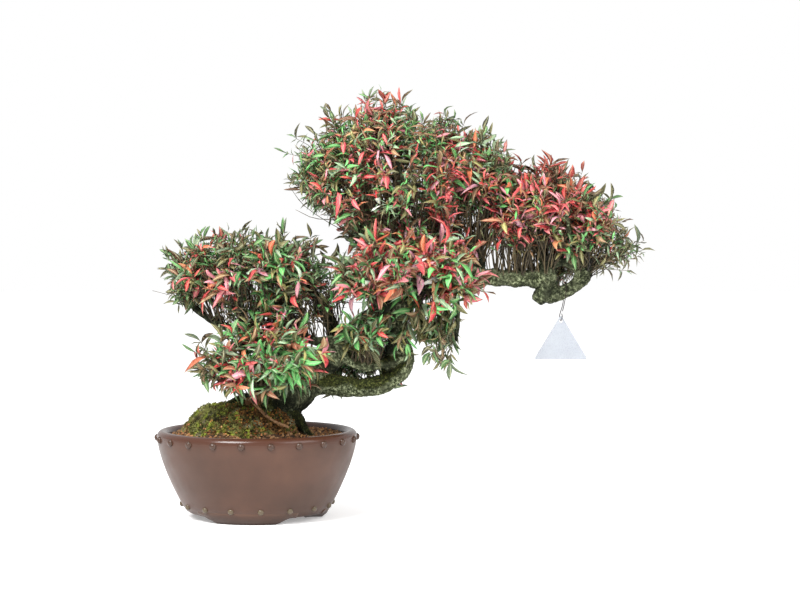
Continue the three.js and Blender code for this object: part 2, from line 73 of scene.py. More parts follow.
# Camera
view = {"eye": (143.3, -2250, 310), "target": (143.3, 0, 212), "lens": 101.2, "sensor": 36, "reach": 20}
camera = bpy.data.objects.new("camera", bpy.data.cameras.new("camera"))
camera.data.lens = view["lens"]
camera.data.sensor_width = view["sensor"]
camera.data.clip_end = view["reach"]
camera.location = spot(*view["eye"])
camera.rotation_euler = (spot(*view["target"]) - camera.location).to_track_quat("-Z", "Y").to_euler()
scene.collection.objects.link(camera)
scene.camera = camera
print("camera set")


# Helpers for objects and curves
def newPiece(name, mesh, *materials):
    piece = bpy.data.objects.new(name, mesh)
    scene.collection.objects.link(piece)
    for material in materials:
        mesh.materials.append(material)
    return piece


def meshOf(bm, name, smooth=True):
    mesh = bpy.data.meshes.new(name)
    for face in bm.faces:
        face.smooth = smooth
    bm.to_mesh(mesh)
    bm.free()
    return mesh


def treeOf(mesh):
    bm = bmesh.new()
    bm.from_mesh(mesh)
    tree = BVHTree.FromBMesh(bm)
    bm.free()
    return tree


def applied(piece):
    ready = piece.evaluated_get(bpy.context.evaluated_depsgraph_get())
    mesh = bpy.data.meshes.new_from_object(ready)
    piece.modifiers.clear()
    piece.data = mesh
    return piece


def smoothStep(low, high, value):
    t = min(max((value - low) / (high - low), 0), 1)
    return t * t * (3 - 2 * t)


def jitter(rand, size):
    return Vector((rand.uniform(-1, 1), rand.uniform(-1, 1), rand.uniform(-1, 1))) * size


def catmullRom(points, t, centripetal=False):
    place = min(max(t, 0), 1) * (len(points) - 1)
    k = min(int(place), len(points) - 2)
    w = place - k
    p1, p2 = points[k], points[k + 1]
    p0 = points[k - 1] if k > 0 else 2 * p1 - p2
    p3 = points[k + 2] if k + 2 < len(points) else 2 * p2 - p1
    if centripetal:
        gaps = [max((b - a).length, 1e-9) ** 0.5 for a, b in ((p0, p1), (p1, p2), (p2, p3))]
        m1 = (p1 - p0) / gaps[0] - (p2 - p0) / (gaps[0] + gaps[1]) + (p2 - p1) / gaps[1]
        m2 = (p2 - p1) / gaps[1] - (p3 - p1) / (gaps[1] + gaps[2]) + (p3 - p2) / gaps[2]
        m1, m2 = m1 * gaps[1], m2 * gaps[1]
    else:
        m1, m2 = (p2 - p0) / 2, (p3 - p1) / 2
    w2, w3 = w * w, w * w * w
    return (p1 * (2 * w3 - 3 * w2 + 1) + m1 * (w3 - 2 * w2 + w)
            + p2 * (3 * w2 - 2 * w3) + m2 * (w3 - w2))


def bezier(a, b, c, d, t):
    s = 1 - t
    return a * (s * s * s) + b * (3 * s * s * t) + c * (3 * s * t * t) + d * (t * t * t)


def heading(curve, t, step=0.02):
    return (curve(min(t + step, 1)) - curve(max(t - step, 0))).normalized()


def longEdges(bm):
    return [e for e in bm.edges if abs(e.verts[0].co.z - e.verts[1].co.z) > 0.5]


# A unit tube: a ring of sides at each step, which is bent along a curve afterwards
def tubeForm(sides, steps):
    bm = bmesh.new()
    bmesh.ops.create_cone(bm, cap_ends=True, segments=sides, radius1=1, radius2=1, depth=1)
    bmesh.ops.subdivide_edges(bm, edges=longEdges(bm), cuts=steps - 1)
    bmesh.ops.translate(bm, verts=bm.verts[:], vec=(0, 0, 0.5))
    bmesh.ops.recalc_face_normals(bm, faces=bm.faces[:])
    bm.verts.layers.float_color.new("tint")
    return meshOf(bm, "tube_form")


def bendTube(form, curve, radius, steps):
    stations = []
    side = None
    for i in range(steps + 1):
        t = i / steps
        ahead = heading(curve, t)
        if side is None:
            side = ahead.orthogonal().normalized()
        side = (side - ahead * side.dot(ahead)).normalized()
        stations.append((curve(t), side, ahead.cross(side), radius(t)))
    copy = form.copy()
    for vertex in copy.vertices:
        x, y, t = vertex.co
        centre, across, out, girth = stations[round(t * steps)]
        vertex.co = centre + (across * x + out * y) * girth
    return copy


def paint(mesh, tint):
    mesh.attributes["tint"].data.foreach_set("color", [*tint, 1] * len(mesh.vertices))


def addCopy(bm, copy):
    bm.from_mesh(copy)
    bpy.data.meshes.remove(copy)


# Helpers for materials
def srgb(red, green, blue):
    return tuple((c / 255 / 12.92) if c < 11 else ((c / 255 + 0.055) / 1.055) ** 2.4
                 for c in (red, green, blue))


def newMaterial(name, roughness):
    material = bpy.data.materials.new(name)
    material.use_nodes = True
    shader = material.node_tree.nodes["Principled BSDF"]
    shader.inputs["Roughness"].default_value = roughness
    return material, material.node_tree, shader


# A socket is linked to the input that it is given for, and any other value is set there
def fill(tree, node, values):
    for key, value in values.items():
        if isinstance(value, bpy.types.NodeSocket):
            tree.links.new(value, node.inputs[key])
        else:
            node.inputs[key].default_value = value


def addNode(tree, kind, values=None, **settings):
    node = tree.nodes.new("ShaderNode" + kind)
    for key, value in settings.items():
        setattr(node, key, value)
    fill(tree, node, values or {})
    return node


def ramp(tree, factor, *stops):
    node = addNode(tree, "ValToRGB", {"Fac": factor})
    elements = node.color_ramp.elements
    while len(elements) < len(stops):
        elements.new(0.5)
    for element, (place, colour) in zip(elements, stops):
        element.position = place
        element.color = (*colour, 1) if hasattr(colour, "__len__") else (colour,) * 3 + (1,)
    return node.outputs["Color"]


def mixColour(tree, factor, a, b, blend="MIX"):
    a, b = (c if isinstance(c, bpy.types.NodeSocket) else (*c, 1) for c in (a, b))
    return addNode(tree, "Mix", {0: factor, 6: a, 7: b}, data_type="RGBA", blend_type=blend).outputs[2]


def attributeOf(tree, name, output="Fac"):
    return addNode(tree, "Attribute", attribute_name=name).outputs[output]


def placeOf(tree):
    return addNode(tree, "TexCoord").outputs["Object"]


def mathOf(tree, operation, *values):
    return addNode(tree, "Math", dict(enumerate(values)), operation=operation).outputs[0]


def shareOf(tree, value, low, high):
    return addNode(tree, "MapRange", {"Value": value, "From Min": low, "From Max": high}).outputs["Result"]


def noiseAt(tree, scale, detail=4, roughness=0.6):
    return addNode(tree, "TexNoise", {"Vector": placeOf(tree), "Scale": scale, "Detail": detail,
                                      "Roughness": roughness}).outputs["Fac"]


def bump(tree, shader, height, distance, strength=1):
    node = addNode(tree, "Bump", {"Height": height, "Distance": distance, "Strength": strength})
    fill(tree, shader, {"Normal": node.outputs["Normal"]})


def finish(piece, slot, *replaced):
    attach(piece, "root")
    if replaced:
        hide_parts(*replaced)


# Tag and its thread
tagForm = {"x": tagX, "y": -11, "top": 203.3, "halfWidth": 26.8, "height": 44.6, "thick": 0.8,
           "round": 3, "hole": 1.9, "holeDrop": 6.2, "punch": 6, "edge": 0.18,
           "dark": srgb(143, 147, 154), "pale": srgb(152, 156, 162)}
threadForm = {
    "diameter": 0.8,
    "points": 160,
    "dark": srgb(22, 16, 18),
    "pale": srgb(44, 34, 35),
    "route": [
        (305.2, -12.0, 206.8), (306.2, -15, 212), (307.2, -18.4, 218.5), (307.9, -20, 225),
        (308.2, -18.6, 231.5), (308.4, -15, 235.2), (308.4, -11, 236.2), (308.3, -7, 235.2),
        (308.1, -3.4, 231.5), (307.7, -2, 225), (306.8, -3.6, 218.5), (305.4, -7, 212),
        (303.6, -8.9, 206.5), (302.5, -8.8, 202), (302.8, -8.9, 199.4), (303.4, -10.2, 197.6),
        (304, -12, 197.8), (304.6, -13.2, 199.6), (304.8, -13.4, 202), (304.4, -13.2, 204.6),
    ],
}


def tagMaterial():
    material, tree, shader = newMaterial("tag_sheet", 0.3)
    cloud = noiseAt(tree, 60, 3)
    scratches = noiseAt(tree, 900, 6)
    fill(tree, shader, {
        "Base Color": ramp(tree, cloud, (0.3, tagForm["dark"]), (0.7, tagForm["pale"])),
        "Roughness": ramp(tree, scratches, (0.35, 0.22), (0.75, 0.42)),
        "Subsurface Weight": 0.25,
        "Subsurface Radius": (0.002, 0.002, 0.002),
        "Coat Weight": 0.2,
    })
    bump(tree, shader, scratches, 0.00002, 0.5)
    return material


def tagSheet():
    form = tagForm
    bm = bmesh.new()
    corners = [(0, 0), (-form["halfWidth"], -form["height"]), (form["halfWidth"], -form["height"])]
    bm.faces.new([bm.verts.new(spot(form["x"] + x, form["y"] - form["thick"] / 2, form["top"] + z))
                  for x, z in corners])
    bmesh.ops.bevel(bm, geom=bm.verts[:], offset=form["round"] * mm, offset_type="OFFSET",
                    segments=8, profile=0.5, affect="VERTICES", material=-1)
    made = bmesh.ops.extrude_face_region(bm, geom=bm.faces[:])
    moved = [v for v in made["geom"] if isinstance(v, bmesh.types.BMVert)]
    bmesh.ops.translate(bm, verts=moved, vec=(0, form["thick"] * mm, 0))
    bmesh.ops.recalc_face_normals(bm, faces=bm.faces[:])
    return meshOf(bm, "hang_tag", smooth=False)


def tagPunch():
    form = tagForm
    bm = bmesh.new()
    bmesh.ops.create_cone(bm, cap_ends=True, segments=32, radius1=form["hole"] * mm,
                          radius2=form["hole"] * mm, depth=form["punch"] * mm)
    bmesh.ops.rotate(bm, verts=bm.verts[:], matrix=Matrix.Rotation(math.pi / 2, 3, "X"))
    bmesh.ops.translate(bm, verts=bm.verts[:],
                        vec=spot(form["x"], form["y"], form["top"] - form["holeDrop"]))
    return newPiece("punch", meshOf(bm, "punch"))


def makeTag():
    tag = newPiece("hang_tag", tagSheet(), tagMaterial())
    punch = tagPunch()
    cut = tag.modifiers.new("hole", "BOOLEAN")
    cut.object = punch
    cut.solver = "EXACT"
    applied(tag)
    bpy.data.objects.remove(punch)
    softEdge = tag.modifiers.new("edge", "BEVEL")
    softEdge.width = tagForm["edge"] * mm
    softEdge.segments = 3
    softEdge.limit_method = "ANGLE"
    applied(tag)
    finish(tag, "tag", "tag")
    return tag


def threadMaterial():
    material, tree, shader = newMaterial("thread_fibre", 0.85)
    twist = addNode(tree, "TexWave", {"Vector": placeOf(tree), "Scale": 900, "Distortion": 0.6,
                                      "Detail": 2}, wave_type="BANDS", bands_direction="DIAGONAL")
    strands = twist.outputs["Fac"]
    fill(tree, shader, {
        "Base Color": ramp(tree, strands, (0.2, threadForm["dark"]), (0.8, threadForm["pale"])),
        "Specular IOR Level": 0.1,
    })
    bump(tree, shader, strands, 0.0001, 0.6)
    return material


def makeThread():
    line = bpy.data.curves.new("tag_thread_line", "CURVE")
    line.dimensions = "3D"
    line.bevel_depth = threadForm["diameter"] / 2 * mm
    line.bevel_resolution = 3
    line.use_fill_caps = True
    route = [spot(*point) for point in threadForm["route"]]
    count = threadForm["points"]
    path = [catmullRom(route, i / (count - 1), centripetal=True) for i in range(count)]
    spline = line.splines.new("POLY")
    spline.points.add(count - 1)
    for point, where in zip(spline.points, path):
        point.co = (*where, 1)
    thread = newPiece("thread_loop", line, threadMaterial())
    finish(thread, "thread", "tag_thread")
    length = sum((b - a).length for a, b in zip(path, path[1:]))
    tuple(path[0])
    print("thread", round(length, 4))


tag = makeTag()
makeThread()
print("tag and thread hung")


# Pot
potForm = {
    "rimRadius": 100.3, "footRadius": 71.1, "bellyPower": 1.5, "rimHeight": 82,
    "crestHeight": 87.8, "lipRadius": 6, "footHeight": 6, "wall": 9, "innerRadius": 87.3,
    "floor": 9, "drainRadius": 11, "cornerInset": 4, "footCurve": (3.6, 2.8), "spinSteps": 128,
    "cornerTurns": (0.5, 1.05, 1.5), "wallHeights": range(12, 76, 4), "lipTurns": range(10, 186, 14),
    "innerHeights": (76, 64, 52, 40, 28, 20),
    "studs": [{"count": 22, "height": 80, "radius": 3.6, "proud": 3, "turn": -5.3},
              {"count": 16, "height": 14, "radius": 3.1, "proud": 2.7, "turn": 6}],
    "studSink": 0.2,
    "feet": {"count": 3, "turn": -7, "halfBottom": 28, "halfTop": 44, "innerRadius": 50,
             "rise": 3, "overlap": 5, "steps": 48, "spare": 0.25, "pull": 0.006, "clear": 0.02},
}
potColours = {
    "body": [srgb(58, 38, 27), srgb(73, 48, 36), srgb(86, 58, 43)], "speck": srgb(62, 44, 38),
    "rim": srgb(66, 39, 28), "lowStud": srgb(80, 70, 53), "highStud": srgb(58, 40, 31),
    "foot": srgb(36, 24, 17), "wornEdge": srgb(124, 100, 84), "creviceShade": srgb(30, 20, 16),
}


def wallRadius(z):
    form = potForm
    share = max(0, form["rimHeight"] - z) / (form["rimHeight"] - form["footHeight"])
    return form["rimRadius"] - (form["rimRadius"] - form["footRadius"]) * share ** form["bellyPower"]


def innerRadius(z):
    return min(potForm["innerRadius"], wallRadius(z) - potForm["wall"])


def potProfile():
    form = potForm
    foot, floorTop = form["footHeight"], form["footHeight"] + form["floor"]
    footEdge, (across, rise) = form["footRadius"] - form["cornerInset"], form["footCurve"]
    profile = [(form["drainRadius"], foot), (footEdge, foot)]
    profile += [(footEdge + across * math.sin(a), foot + rise * (1 - math.cos(a)))
                for a in form["cornerTurns"]]
    profile += [(wallRadius(z), z) for z in form["wallHeights"]]
    middle = form["rimRadius"] - form["lipRadius"]
    for turn in form["lipTurns"]:
        a = math.radians(turn)
        profile.append((middle + form["lipRadius"] * math.cos(a),
                        form["crestHeight"] - form["lipRadius"] + form["lipRadius"] * math.sin(a)))
    profile += [(innerRadius(z), z) for z in form["innerHeights"]]
    profile += [(innerRadius(floorTop) - form["cornerInset"], floorTop), (form["drainRadius"], floorTop)]
    return profile


# A profile of radii and heights is spun round the axis, all the way or by an angle
def spun(profile, steps, angle=math.tau, start=0):
    bm = bmesh.new()
    verts = [bm.verts.new(Vector((r * mm, 0, z * mm))) for r, z in profile]
    for a, b in zip(verts, verts[1:] + verts[:1]):
        bm.edges.new((a, b))
    whole = angle == math.tau
    if not whole:
        bm.faces.new(verts)
    bmesh.ops.rotate(bm, verts=bm.verts[:], cent=(0, 0, 0), matrix=Matrix.Rotation(start, 3, "Z"))
    geom = bm.edges[:] if whole else bm.faces[:] + bm.edges[:] + bm.verts[:]
    bmesh.ops.spin(bm, geom=geom, cent=(0, 0, 0), axis=(0, 0, 1), angle=angle, steps=steps,
                   use_merge=whole)
    bmesh.ops.remove_doubles(bm, verts=bm.verts[:], dist=0.00001)
    bmesh.ops.recalc_face_normals(bm, faces=bm.faces[:])
    return bm


def potMaterial():
    material, tree, shader = newMaterial("stoneware", 0.4)
    colours = potColours
    height = addNode(tree, "SeparateXYZ", {"Vector": placeOf(tree)}).outputs["Z"]
    body = ramp(tree, noiseAt(tree, 14, 5, 0.55), *zip((0.3, 0.55, 0.8), colours["body"]))
    specks = ramp(tree, noiseAt(tree, 900, 2, 0.5), (0.62, 0.0), (0.72, 0.45))
    body = mixColour(tree, specks, body, colours["speck"])
    # The rim has caught a redder, darker skin in the kiln, and the lower studs are greyer
    nearRim = shareOf(tree, height, 0.076, 0.084)
    body = mixColour(tree, nearRim, body, colours["rim"])
    stud = attributeOf(tree, "stud")
    studSkin = mixColour(tree, shareOf(tree, height, 0.03, 0.05), colours["lowStud"], colours["highStud"])
    body = mixColour(tree, stud, body, studSkin)
    # Painted shade: the body darkens towards the floor below 13 mm, over the feet
    footShade = mixColour(tree, 0.55, body, colours["foot"])
    body = mixColour(tree, shareOf(tree, height, 0.013, 0.003), body, footShade)
    # Pointiness: convex edges are rubbed lighter, and concave hollows and seams get painted shade
    wearAndCreviceShade = addNode(tree, "NewGeometry").outputs["Pointiness"]
    body = mixColour(tree, ramp(tree, wearAndCreviceShade, (0.53, 0.0), (0.62, 0.22)), body, colours["wornEdge"])
    body = mixColour(tree, ramp(tree, wearAndCreviceShade, (0.4, 0.5), (0.47, 0.0)), body, colours["creviceShade"])
    dull = ramp(tree, noiseAt(tree, 45, 6), (0.3, 0.36), (0.7, 0.5))
    polish = mathOf(tree, "MAXIMUM", nearRim, stud)
    fill(tree, shader, {
        "Base Color": body,
        "Roughness": mixColour(tree, polish, dull, (0.2, 0.2, 0.2)),
        "Specular IOR Level": 0.3,
        "Coat Weight": 0.03,
        "Coat Roughness": 0.3,
    })
    bump(tree, shader, noiseAt(tree, 1400, 3), 0.00012, 0.35)
    return material


def addStuds(bm):
    bm.verts.layers.float.new("stud")
    for row in potForm["studs"]:
        for i in range(row["count"]):
            made = bmesh.ops.create_uvsphere(bm, u_segments=16, v_segments=10,
                                             radius=row["radius"] * mm)["verts"]
            bmesh.ops.scale(bm, verts=made, vec=(1, row["proud"] / row["radius"], 1))
            out = -wallRadius(row["height"]) + potForm["studSink"]
            bmesh.ops.translate(bm, verts=made, vec=(0, out * mm, row["height"] * mm))
            turn = math.radians(row["turn"] + i * 360 / row["count"])
            bmesh.ops.rotate(bm, verts=made, cent=(0, 0, 0), matrix=Matrix.Rotation(turn, 3, "Z"))
            layer = bm.verts.layers.float["stud"]
            for vert in made:
                vert[layer] = 1


def addFeet(bm):
    feet, foot = potForm["feet"], potForm["footHeight"]
    top = foot + feet["rise"]
    hidden = top + feet["overlap"]
    profile = [(feet["innerRadius"], 0), (wallRadius(0) - 2.2, 0), (wallRadius(0) - 1, 1.2),
               (wallRadius(4) + 0.1, 4), (wallRadius(top) + 0.15, top),
               (wallRadius(hidden) - 0.2, hidden), (feet["innerRadius"], hidden)]
    spread = math.asin(feet["halfTop"] / (wallRadius(top) + 1)) * 2 + feet["spare"]
    for i in range(feet["count"]):
        middle = math.radians(feet["turn"] + i * 360 / feet["count"]) - math.pi / 2
        footMesh = spun(profile, feet["steps"], spread, middle - spread / 2)
        for vert in footMesh.verts:
            # The foot's underside curls up to the pot's floor at both ends
            side = abs(vert.co.x * -math.sin(middle) + vert.co.y * math.cos(middle)) / mm
            share = (side - feet["halfBottom"]) / (feet["halfTop"] - feet["halfBottom"])
            share = min(max(share, 0), 1)
            lift = foot * share * share * (3 - 2 * share)
            vert.co.x *= 1 - feet["pull"] * share
            vert.co.y *= 1 - feet["pull"] * share
            vert.co.z = max(vert.co.z, (lift + feet["clear"]) * mm if share > 0 else vert.co.z)
        addCopy(bm, meshOf(footMesh, "foot"))


def makePot():
    bm = spun(potProfile(), potForm["spinSteps"])
    addStuds(bm)
    addFeet(bm)
    bmesh.ops.translate(bm, verts=bm.verts[:], vec=(potX, 0, 0))
    pot = newPiece("drum_pot", meshOf(bm, "drum_pot"), potMaterial())
    finish(pot, "pot", "pot")


makePot()
print("pot turned")


# Trunk and limbs: points in x, y, z from the pot's axis, each with the limb's radius
limbs = {
    "trunk": [(12, 0, 101, 20), (16, -1, 112, 21), (34, -3, 124, 20), (60, -2, 148, 15.5),
              (89, 0, 173, 12.5), (112, 2, 196, 12.5), (143, 2, 217, 12), (173, 0, 233, 11.5),
              (200, 0, 247, 12.5), (226, 0, 259, 9)],
    "lowArm": [(34, -6, 124, 14), (61, -8, 132, 10.5), (83, -8, 132, 9.6), (107, -8, 130, 9.6),
               (128, -8, 135, 9), (143, -6, 145, 8.5), (150, -4, 158, 7.6), (147, -2, 176, 6.5),
               (145, 0, 208, 6.5)],
    "roughUpright": [(132, -3, 138, 7), (136, -4, 160, 7.5), (137, -2, 182, 6.5), (134, 0, 204, 6)],
    "overArm": [(147, -6, 160, 5.2), (127, -11, 155, 5), (108, -14, 152, 5), (90, -15, 160, 5),
                (79, -15, 177, 5), (60, -13, 177, 4.5), (38, -10, 190, 4), (30, -8, 214, 3)],
    "leftArm": [(62, 0, 150, 8), (36, 3, 170, 6), (4, 4, 182, 5), (-30, 2, 190, 4.2),
                (-58, 0, 206, 3.2), (-76, 0, 226, 2.2)],
    "leftFront": [(-4, 4, 184, 4), (-12, -24, 200, 3), (-14, -40, 222, 2)],
    "leftBack": [(-14, 4, 185, 4), (-18, 30, 204, 3), (-16, 46, 226, 2)],
    "crotch": [(78, 4, 164, 9), (75, 6, 190, 7), (62, 4, 216, 5), (48, 0, 238, 3), (40, -2, 252, 2)],
    "crotchBack": [(74, 6, 196, 5), (66, 30, 214, 3.5), (44, 44, 232, 2)],
    "leader": [(143, 2, 217, 9), (140, 4, 246, 7.5), (129, 2, 276, 6), (134, 0, 308, 4.5),
               (130, -2, 345, 3), (131, 0, 382, 1.8)],
    "topLeft": [(134, 3, 258, 6), (108, -2, 284, 4.5), (82, -6, 308, 3.2), (66, -6, 340, 2)],
    "topRight": [(176, 0, 235, 7), (184, 4, 264, 5.5), (190, 2, 294, 4), (186, -2, 326, 3),
                 (188, 0, 356, 1.8)],
    "topFarRight": [(204, 0, 250, 6), (218, 2, 274, 4.5), (232, 0, 300, 3), (236, 0, 330, 1.8)],
    "topFront": [(132, 1, 290, 5), (138, -28, 308, 3.5), (146, -46, 332, 2), (140, -50, 356, 1.6)],
    "topBack": [(131, 2, 284, 5), (128, 32, 306, 3.5), (140, 50, 330, 2.2), (142, 52, 356, 1.6)],
    "rightArm": [(208, 0, 249, 10), (222, -4, 241, 8.6), (243, -8, 240, 8), (266, -10, 240, 8),
                 (290, -10, 239, 9)],
    "knuckle": [(289, -10, 258, 6), (289, -10, 240, 10.5), (288, -11, 216, 6)],
    "stub": [(291, -10, 233, 7), (283, -11, 221, 7), (279, -11, 216, 6)],
    "underRib": [(289, -10, 220, 6.5), (306, -11, 226, 7.6), (318, -11, 233, 6.2), (328, -10, 243, 7)],
    "overRib": [(288, -10, 254, 6), (306, -10, 257.5, 6), (322, -10, 252, 7)],
    "fanBase": [(324, -10, 238, 8), (326, -10, 252, 9), (321, -8, 270, 5)],
    "fanLeft": [(318, -8, 262, 5), (302, -6, 286, 3.2), (290, -4, 320, 1.8)],
    "fanRight": [(326, -8, 260, 5), (336, -4, 286, 3), (338, -2, 316, 1.8)],
    "fanTip": [(328, -10, 250, 4.5), (346, -10, 258, 3), (374, -8, 274, 1.6)],
    "fanFront": [(320, -12, 262, 4.5), (312, -36, 280, 3), (306, -50, 302, 1.8)],
    "fanBack": [(322, -6, 262, 4.5), (318, 26, 280, 3), (312, 46, 302, 1.8)],
    "knuckleShoot": [(288, -10, 256, 5), (276, -6, 282, 3.2), (262, -4, 312, 1.8)],
    "frontArm": [(24, -14, 122, 7), (12, -38, 134, 5), (-12, -52, 138, 3.6), (-40, -56, 144, 2.2)],
    "frontRight": [(30, -14, 126, 6), (38, -40, 146, 4), (52, -54, 164, 2.2)],
    "midFront": [(128, -6, 206, 6.5), (122, -32, 220, 4), (112, -52, 234, 2.2)],
    "midRight": [(156, -6, 224, 6.5), (170, -32, 232, 4), (176, -48, 244, 2.2)],
    "midDroop": [(176, -6, 234, 6), (196, -34, 224, 3.6), (200, -44, 200, 2.4), (198, -46, 178, 1.6)],
    "strayRoot": [(0, -18, 114, 3), (-3, -27, 119, 2), (4, -39, 112, 1.6), (18, -46, 101, 1.5),
                  (35, -49, 94, 1.4)],
}
# Surface roots that run down the mound
roots = {
    "leftRoot": [(4, -4, 116, 12), (-18, -10, 112, 9), (-34, -22, 102, 5), (-44, -30, 92, 3)],
    "frontRoot": [(12, -10, 112, 11), (8, -26, 106, 7), (2, -40, 98, 4), (-4, -52, 88, 2.5)],
    "rightRoot": [(24, -6, 110, 11), (38, -12, 100, 8), (48, -20, 90, 4), (56, -26, 82, 2.5)],
    "backRoot": [(12, 10, 112, 10), (2, 28, 104, 6), (-10, 44, 92, 3)],
}
allLimbs = {**limbs, **roots}
barkForm = {"voxel": 1.5, "sides": 16, "stepsPerRow": 7, "stationsPerRow": 8, "smooth": 4,
            "depth": 1.6, "depthShare": 0.17, "grow": 0.25, "swell": 0.08, "swells": 31,
            "fullSwell": 9, "along": 0.62, "coarse": 150, "ridges": 330, "ridgeFall": 2.2, "fine": 900,
            "shares": (0.45, 0.5, 0.25), "knobs": 75, "knobDepth": 1.5, "knobShare": 0.18}
barkColours = {
    "wood": [srgb(14, 15, 9), srgb(56, 60, 42), srgb(114, 118, 92)],
    "crust": [srgb(11, 13, 7), srgb(72, 80, 53), srgb(182, 190, 150)],
    "moss": [srgb(11, 13, 6), srgb(50, 56, 27), srgb(118, 122, 66)],
    "peel": [srgb(112, 82, 56), srgb(170, 132, 98)],
    "shade": srgb(10, 13, 8),
}
# How dark the painted shade on each limb's wood is, and how readily moss takes on it
limbShades = {"usual": 0.85, "lowArm": 0.1, "overArm": 0.2, "rightArm": 0.15, "knuckle": 0.6,
              "stub": 0.5, "underRib": 0.4, "overRib": 0.6, "fanBase": 0.4}
limbMoss = {"usual": 0.6, "trunk": 1, "lowArm": 0.8, "rightArm": 0.8, "knuckle": 0.8}
threadRest = {"x": 307.5, "z": 225, "reach": 14, "near": 3, "far": 9, "low": 0.5}


def thicknessOf(rows, t):
    place = min(t, 0.9999) * (len(rows) - 1)
    k = int(place)
    return rows[k][3] + (rows[k + 1][3] - rows[k][3]) * (place - k)


def lineOf(rows):
    return partial(catmullRom, [spot(*row[:3]) for row in rows])


def limbStations():
    stations = []
    for name, rows in allLimbs.items():
        line = lineOf(rows)
        count = (len(rows) - 1) * barkForm["stationsPerRow"]
        for t in (i / count for i in range(count + 1)):
            stations.append((line(t), thicknessOf(rows, t) * mm, heading(line, t), name))
    return stations


def barkMaterial():
    material, tree, shader = newMaterial("bark", 0.9)
    colours = barkColours
    wood = ramp(tree, attributeOf(tree, "furrow"), *zip((0.2, 0.5, 0.85), colours["wood"]))
    # Grey-green crust in fine grains over most of the wood
    grain = noiseAt(tree, 300, 7, 0.8)
    crust = ramp(tree, grain, *zip((0.42, 0.51, 0.6), colours["crust"]))
    crusted = ramp(tree, noiseAt(tree, 95, 4), (0.36, 0.25), (0.6, 0.85))
    wood = mixColour(tree, crusted, wood, crust)
    green = ramp(tree, noiseAt(tree, 420, 6, 0.75), *zip((0.36, 0.52, 0.68), colours["moss"]))
    skin = mixColour(tree, attributeOf(tree, "moss"), wood, green)
    # Painted shade: the skin darkens towards a near-black green where the shade mark is high
    shaded = mixColour(tree, 0.88, skin, colours["shade"])
    skin = mixColour(tree, attributeOf(tree, "shade"), skin, shaded)
    peel = ramp(tree, grain, *zip((0.4, 0.62), colours["peel"]))
    fill(tree, shader, {
        "Base Color": mixColour(tree, attributeOf(tree, "bare"), skin, peel),
        "Specular IOR Level": 0.12,
    })
    bump(tree, shader, grain, 0.0016, 1)
    return material


def weldedLimbs():
    bm = bmesh.new()
    for rows in allLimbs.values():
        steps = (len(rows) - 1) * barkForm["stepsPerRow"]

        def radius(t):
            plain = thicknessOf(rows, t)
            swell = barkForm["swell"] * math.sin(t * barkForm["swells"])
            return (plain * (1 + swell * min(1, plain / barkForm["fullSwell"])) + barkForm["grow"]) * mm

        form = tubeForm(barkForm["sides"], steps)
        addCopy(bm, bendTube(form, lineOf(rows), radius, steps))
        bpy.data.meshes.remove(form)
    bmesh.ops.recalc_face_normals(bm, faces=bm.faces[:])
    trunk = newPiece("trunk_and_limbs", meshOf(bm, "trunk_and_limbs"))
    weld = trunk.modifiers.new("one skin", "REMESH")
    weld.mode = "VOXEL"
    weld.voxel_size = barkForm["voxel"] * mm
    weld.use_smooth_shade = True
    soften = trunk.modifiers.new("soften", "SMOOTH")
    soften.factor = 0.5
    soften.iterations = barkForm["smooth"]
    return applied(trunk)


# Ridges and furrows run along the limb, so the pattern is drawn out in that direction
def barkHeight(at, ahead):
    drawn = at - ahead * (at.dot(ahead) * barkForm["along"])
    coarse = noise.noise(drawn * barkForm["coarse"])
    ridge = 1 - abs(noise.noise(drawn * barkForm["ridges"] + Vector((7, 1, 3)))) * barkForm["ridgeFall"]
    fine = noise.noise(at * barkForm["fine"])
    return sum(share * height for share, height in zip(barkForm["shares"], (coarse, ridge, fine)))


# The bark is smooth and low where the thread lies on the rib
def awayFromThread(x, z):
    rest = threadRest
    aside, above = x - rest["x"], z - rest["z"]
    away = math.hypot(aside, above) if abs(above) > rest["reach"] else abs(aside)
    return smoothStep(rest["near"], rest["far"], away)


